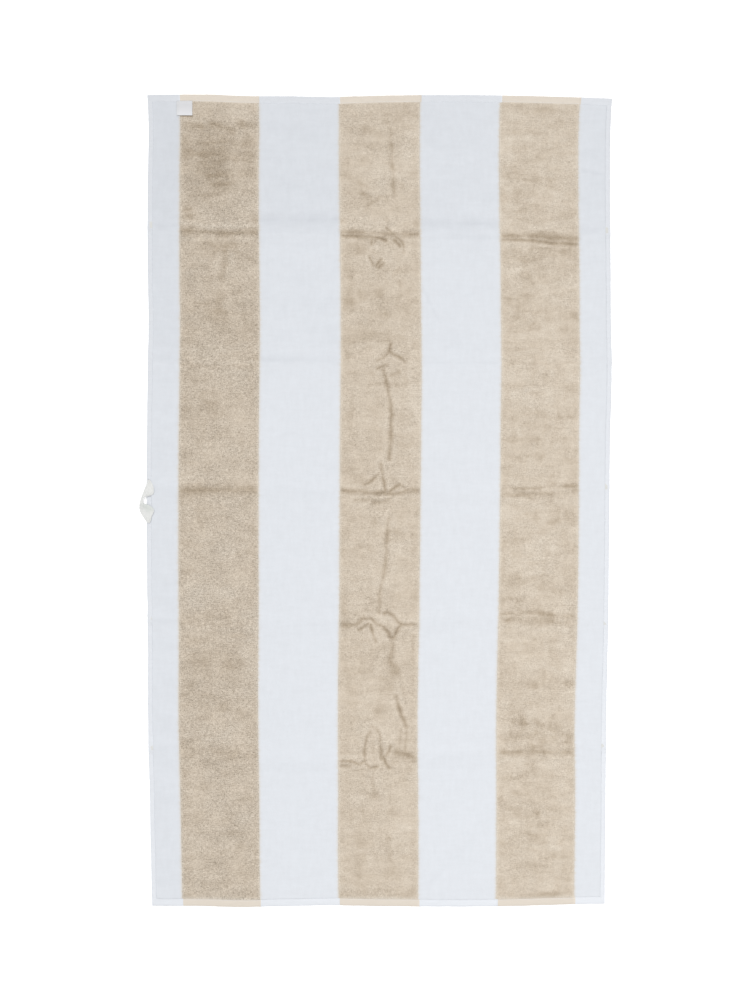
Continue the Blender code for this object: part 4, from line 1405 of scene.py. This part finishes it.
def flat_weave(name, yarns):
    """Plain weave of the hems and the ground: fine ribs both ways, in the stripes' paler yarns, with the
    hems' painted light.
    """
    finish = new_finish(name, 0.88, 0.06)
    tree = finish[1]
    where = place(tree)
    ribs_x = ribs(tree, where, RIB_SCALE, 1.2, 1.0)
    ribs_y = ribs(tree, where, RIB_SCALE * 1.15, 1.2, 1.0, "Y")
    slubs = mottle(tree, place(tree, (0.3, 1.4, 1.0)), 160.0, 3.0, 0.6)
    height = number(tree, "ADD", number(tree, "MAXIMUM", ribs_x, ribs_y), slubs)
    amount = weighted(tree, reading(tree, "tone_and_painted_light"), (slubs, 0.10))
    return joined(finish, tinted(tree, striped(tree, yarns), amount), height, 0.6, 0.00018)


def underside_terry(name, yarns):
    """Terry on the back of the cloth: the same stripes and loops, a little flattened."""
    finish = new_finish(name, 0.96, 0.10)
    tree = finish[1]
    loops = add(tree, "TexVoronoi", (("Vector", place(tree, LOOP_STRETCH)), ("Scale", LOOP_SCALE)))
    clumps = mottle(tree, place(tree, (0.75, 1.2, 1.0)), 260.0, 3.0, 0.6)
    streaks = mottle(tree, place(tree, (0.5, 1.3, 1.0)), 70.0, 3.0, 0.6)
    amount = weighted(tree, 0.0, (clumps, 0.22), (streaks, 0.22), (reading(tree, "lean"), 0.06))
    height = number(tree, "SUBTRACT", clumps, loops.outputs["Distance"])
    return joined(finish, tinted(tree, striped(tree, yarns), amount), height, 1.0, 0.0005)


def tape_finish():
    """Woven tape: ribs across it every 1.1 mm and a finer rib along it, warm white, with painted shade where
    its lower leaf turns under.
    """
    finish = new_finish("tape_weave", 0.8, 0.08)
    tree = finish[1]
    down = reading(tree, "down")
    over = reading(tree, "over")
    across = number(tree, "SINE", number(tree, "MULTIPLY", down, 5.7))
    lines = number(tree, "SINE", number(tree, "MULTIPLY", over, 7.4))
    turned_under = ramp(tree, number(tree, "DIVIDE", down, TAPE_RUN), TAPE_SHADE_DOWN)
    towards_hole = ramp(tree, number(tree, "DIVIDE", over, TAPE_SPAN), TAPE_SHADE_OVER)
    shade = colours(tree, "MULTIPLY", turned_under, towards_hole)
    shade = colours(tree, "MULTIPLY_ADD", shade, TAPE_SHADE, (1.0, 1.0, 1.0))
    soil = number(tree, "MULTIPLY", mottle(tree, place(tree), 300.0, 3.0, 0.6), 0.12)
    colour = tinted(tree, colours(tree, "MULTIPLY", shade, TAPE_WHITE), soil)
    return joined(finish, colour, weighted(tree, 0.0, (across, 0.5), (lines, 0.35)), 0.8, 0.00022)


def label_finish():
    """Smooth satin weave: very fine ribs along the ribbon, blank, with painted shade by the hem and its left
    edge and a painted highlight at its free end.
    """
    finish = new_finish("label_satin", 0.5, 0.05)
    tree = finish[1]
    height = ribs(tree, place(tree), 420.0, 0.6)
    down = number(tree, "DIVIDE", reading(tree, "down"), LABEL_LIE[-1][0])
    over = number(tree, "DIVIDE", reading(tree, "over"), LABEL_SHADE_WIDTH)
    shade = colours(tree, "MULTIPLY", ramp(tree, down, LABEL_SHADE_DOWN), ramp(tree, over, LABEL_SHADE_OVER))
    cloud = number(tree, "MULTIPLY", mottle(tree, place(tree), 120.0, 2.0, 0.5), 0.05)
    colour = tinted(tree, colours(tree, "MULTIPLY", shade, LABEL_WHITE), cloud)
    return joined(finish, colour, height, 0.35, 0.0001)


def thread_finish():
    """Sewing thread: white, with the twist of its plies."""
    finish = new_finish("sewing_thread", 0.6, 0.1)
    tree = finish[1]
    twist = ribs(tree, place(tree, (1.0, 1.0, 0.4)), 900.0, 0.0, direction="DIAGONAL")
    colour = tinted(tree, THREAD_WHITE, number(tree, "MULTIPLY", twist, 0.08))
    return joined(finish, colour, twist, 0.5, 0.0001)


def studio():
    """A near-white floor, an even white sky, a window beyond the towel's top, a softbox and the camera."""
    mesh = bpy.data.meshes.new("studio_floor")
    corners = [(x * FLOOR_HALF, y * FLOOR_HALF, FLOOR_Z) for x, y in ((-1, -1), (1, -1), (1, 1), (-1, 1))]
    mesh.from_pydata(corners, [], [(0, 1, 2, 3)])
    floor = bpy.data.objects.new("studio_floor", mesh)
    bpy.context.collection.objects.link(floor)
    paper, _, shader = new_finish("studio_paper", 0.9, 0.0)
    shader.inputs["Base Color"].default_value = (0.95, 0.95, 0.95, 1.0)
    shader.inputs["Emission Color"].default_value = (1.0, 1.0, 1.0, 1.0)
    shader.inputs["Emission Strength"].default_value = 0.2
    mesh.materials.append(paper)

    world = bpy.data.worlds.new("studio_sky")
    world.use_nodes = True
    sky = world.node_tree.nodes["Background"]
    sky.inputs["Color"].default_value = (1.0, 1.0, 1.0, 1.0)
    sky.inputs["Strength"].default_value = 0.50
    bpy.context.scene.world = world

    for name, size, power, spot in LIGHTS:
        data = bpy.data.lights.new(name, "AREA")
        data.shape = "SQUARE"
        data.size = size
        data.energy = power
        light = bpy.data.objects.new(name, data)
        light.location = spot
        tilt = float(np.arctan2(np.hypot(spot[0], spot[1]), spot[2]))
        light.rotation_euler = (tilt, 0.0, float(np.arctan2(spot[0], -spot[1])))
        light.visible_camera = False
        bpy.context.collection.objects.link(light)

    lens = bpy.data.cameras.new("camera")
    lens.sensor_width = SENSOR
    lens.lens = SENSOR * CAMERA_DISTANCE / SHOWN_HEIGHT
    lens.clip_end = 100.0
    camera = bpy.data.objects.new("camera", lens)
    camera.location = (*CAMERA_XY, CAMERA_DISTANCE)
    bpy.context.collection.objects.link(camera)
    bpy.context.scene.camera = camera
    bpy.context.scene.view_settings.view_transform = "Standard"


studio()

# The pile's tone reads lean and panel, painted light and shade, and parted, painted shade in the pressed
# lines
white_weights = {"lean": 0.035, "parted": -0.22, "panel": 0.14}
white_grains = (0.01, 0.035, 0.035, 0.055, 0.065)
sand_weights = {"lean": 0.16, "parted": -0.30, "panel": -0.035}
sand_grains = (0.30, 0.70, 0.52, 0.26, 0.16)
terries = {
    "white": terry("white_terry", WHITE_STOPS, white_weights, white_grains, 0.00018, TAN),
    "sand": terry("sand_terry", SAND_STOPS, sand_weights, sand_grains, 0.0007, CREAM),
}
hem_weave = flat_weave("hem_weave", HEM_YARNS)
ground_weave = flat_weave("ground_weave", GROUND_YARNS)
back_terry = underside_terry("back_terry", BACK_YARNS)
thread = thread_finish()

cloth = ground_cloth(ground_weave, back_terry)
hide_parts("towel")

for band_name, first_share, last_share, steps, yarn, roughness, tone, grain in BANDS:
    band = pile_band(band_name, first_share, last_share, steps, terries[yarn], roughness, tone, grain)

for hem_name, side, end, share_of_height in (
    ("hem_left", -1, 0, 0.94),
    ("hem_right", 1, 0, 0.94),
    ("hem_top", 0, 1, 1.0),
    ("hem_bottom", 0, -1, 1.0),
):
    turned = hem(hem_name, hem_weave, side, end, share_of_height)
    sewn = hem_thread(hem_name + "_thread", thread, side, end, 5 + side * 2 + end)

tape = loop_tape(tape_finish())
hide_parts("hanging_loop")
tacks = loop_thread(thread)

label = label_flap(label_finish())
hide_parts("care_label")
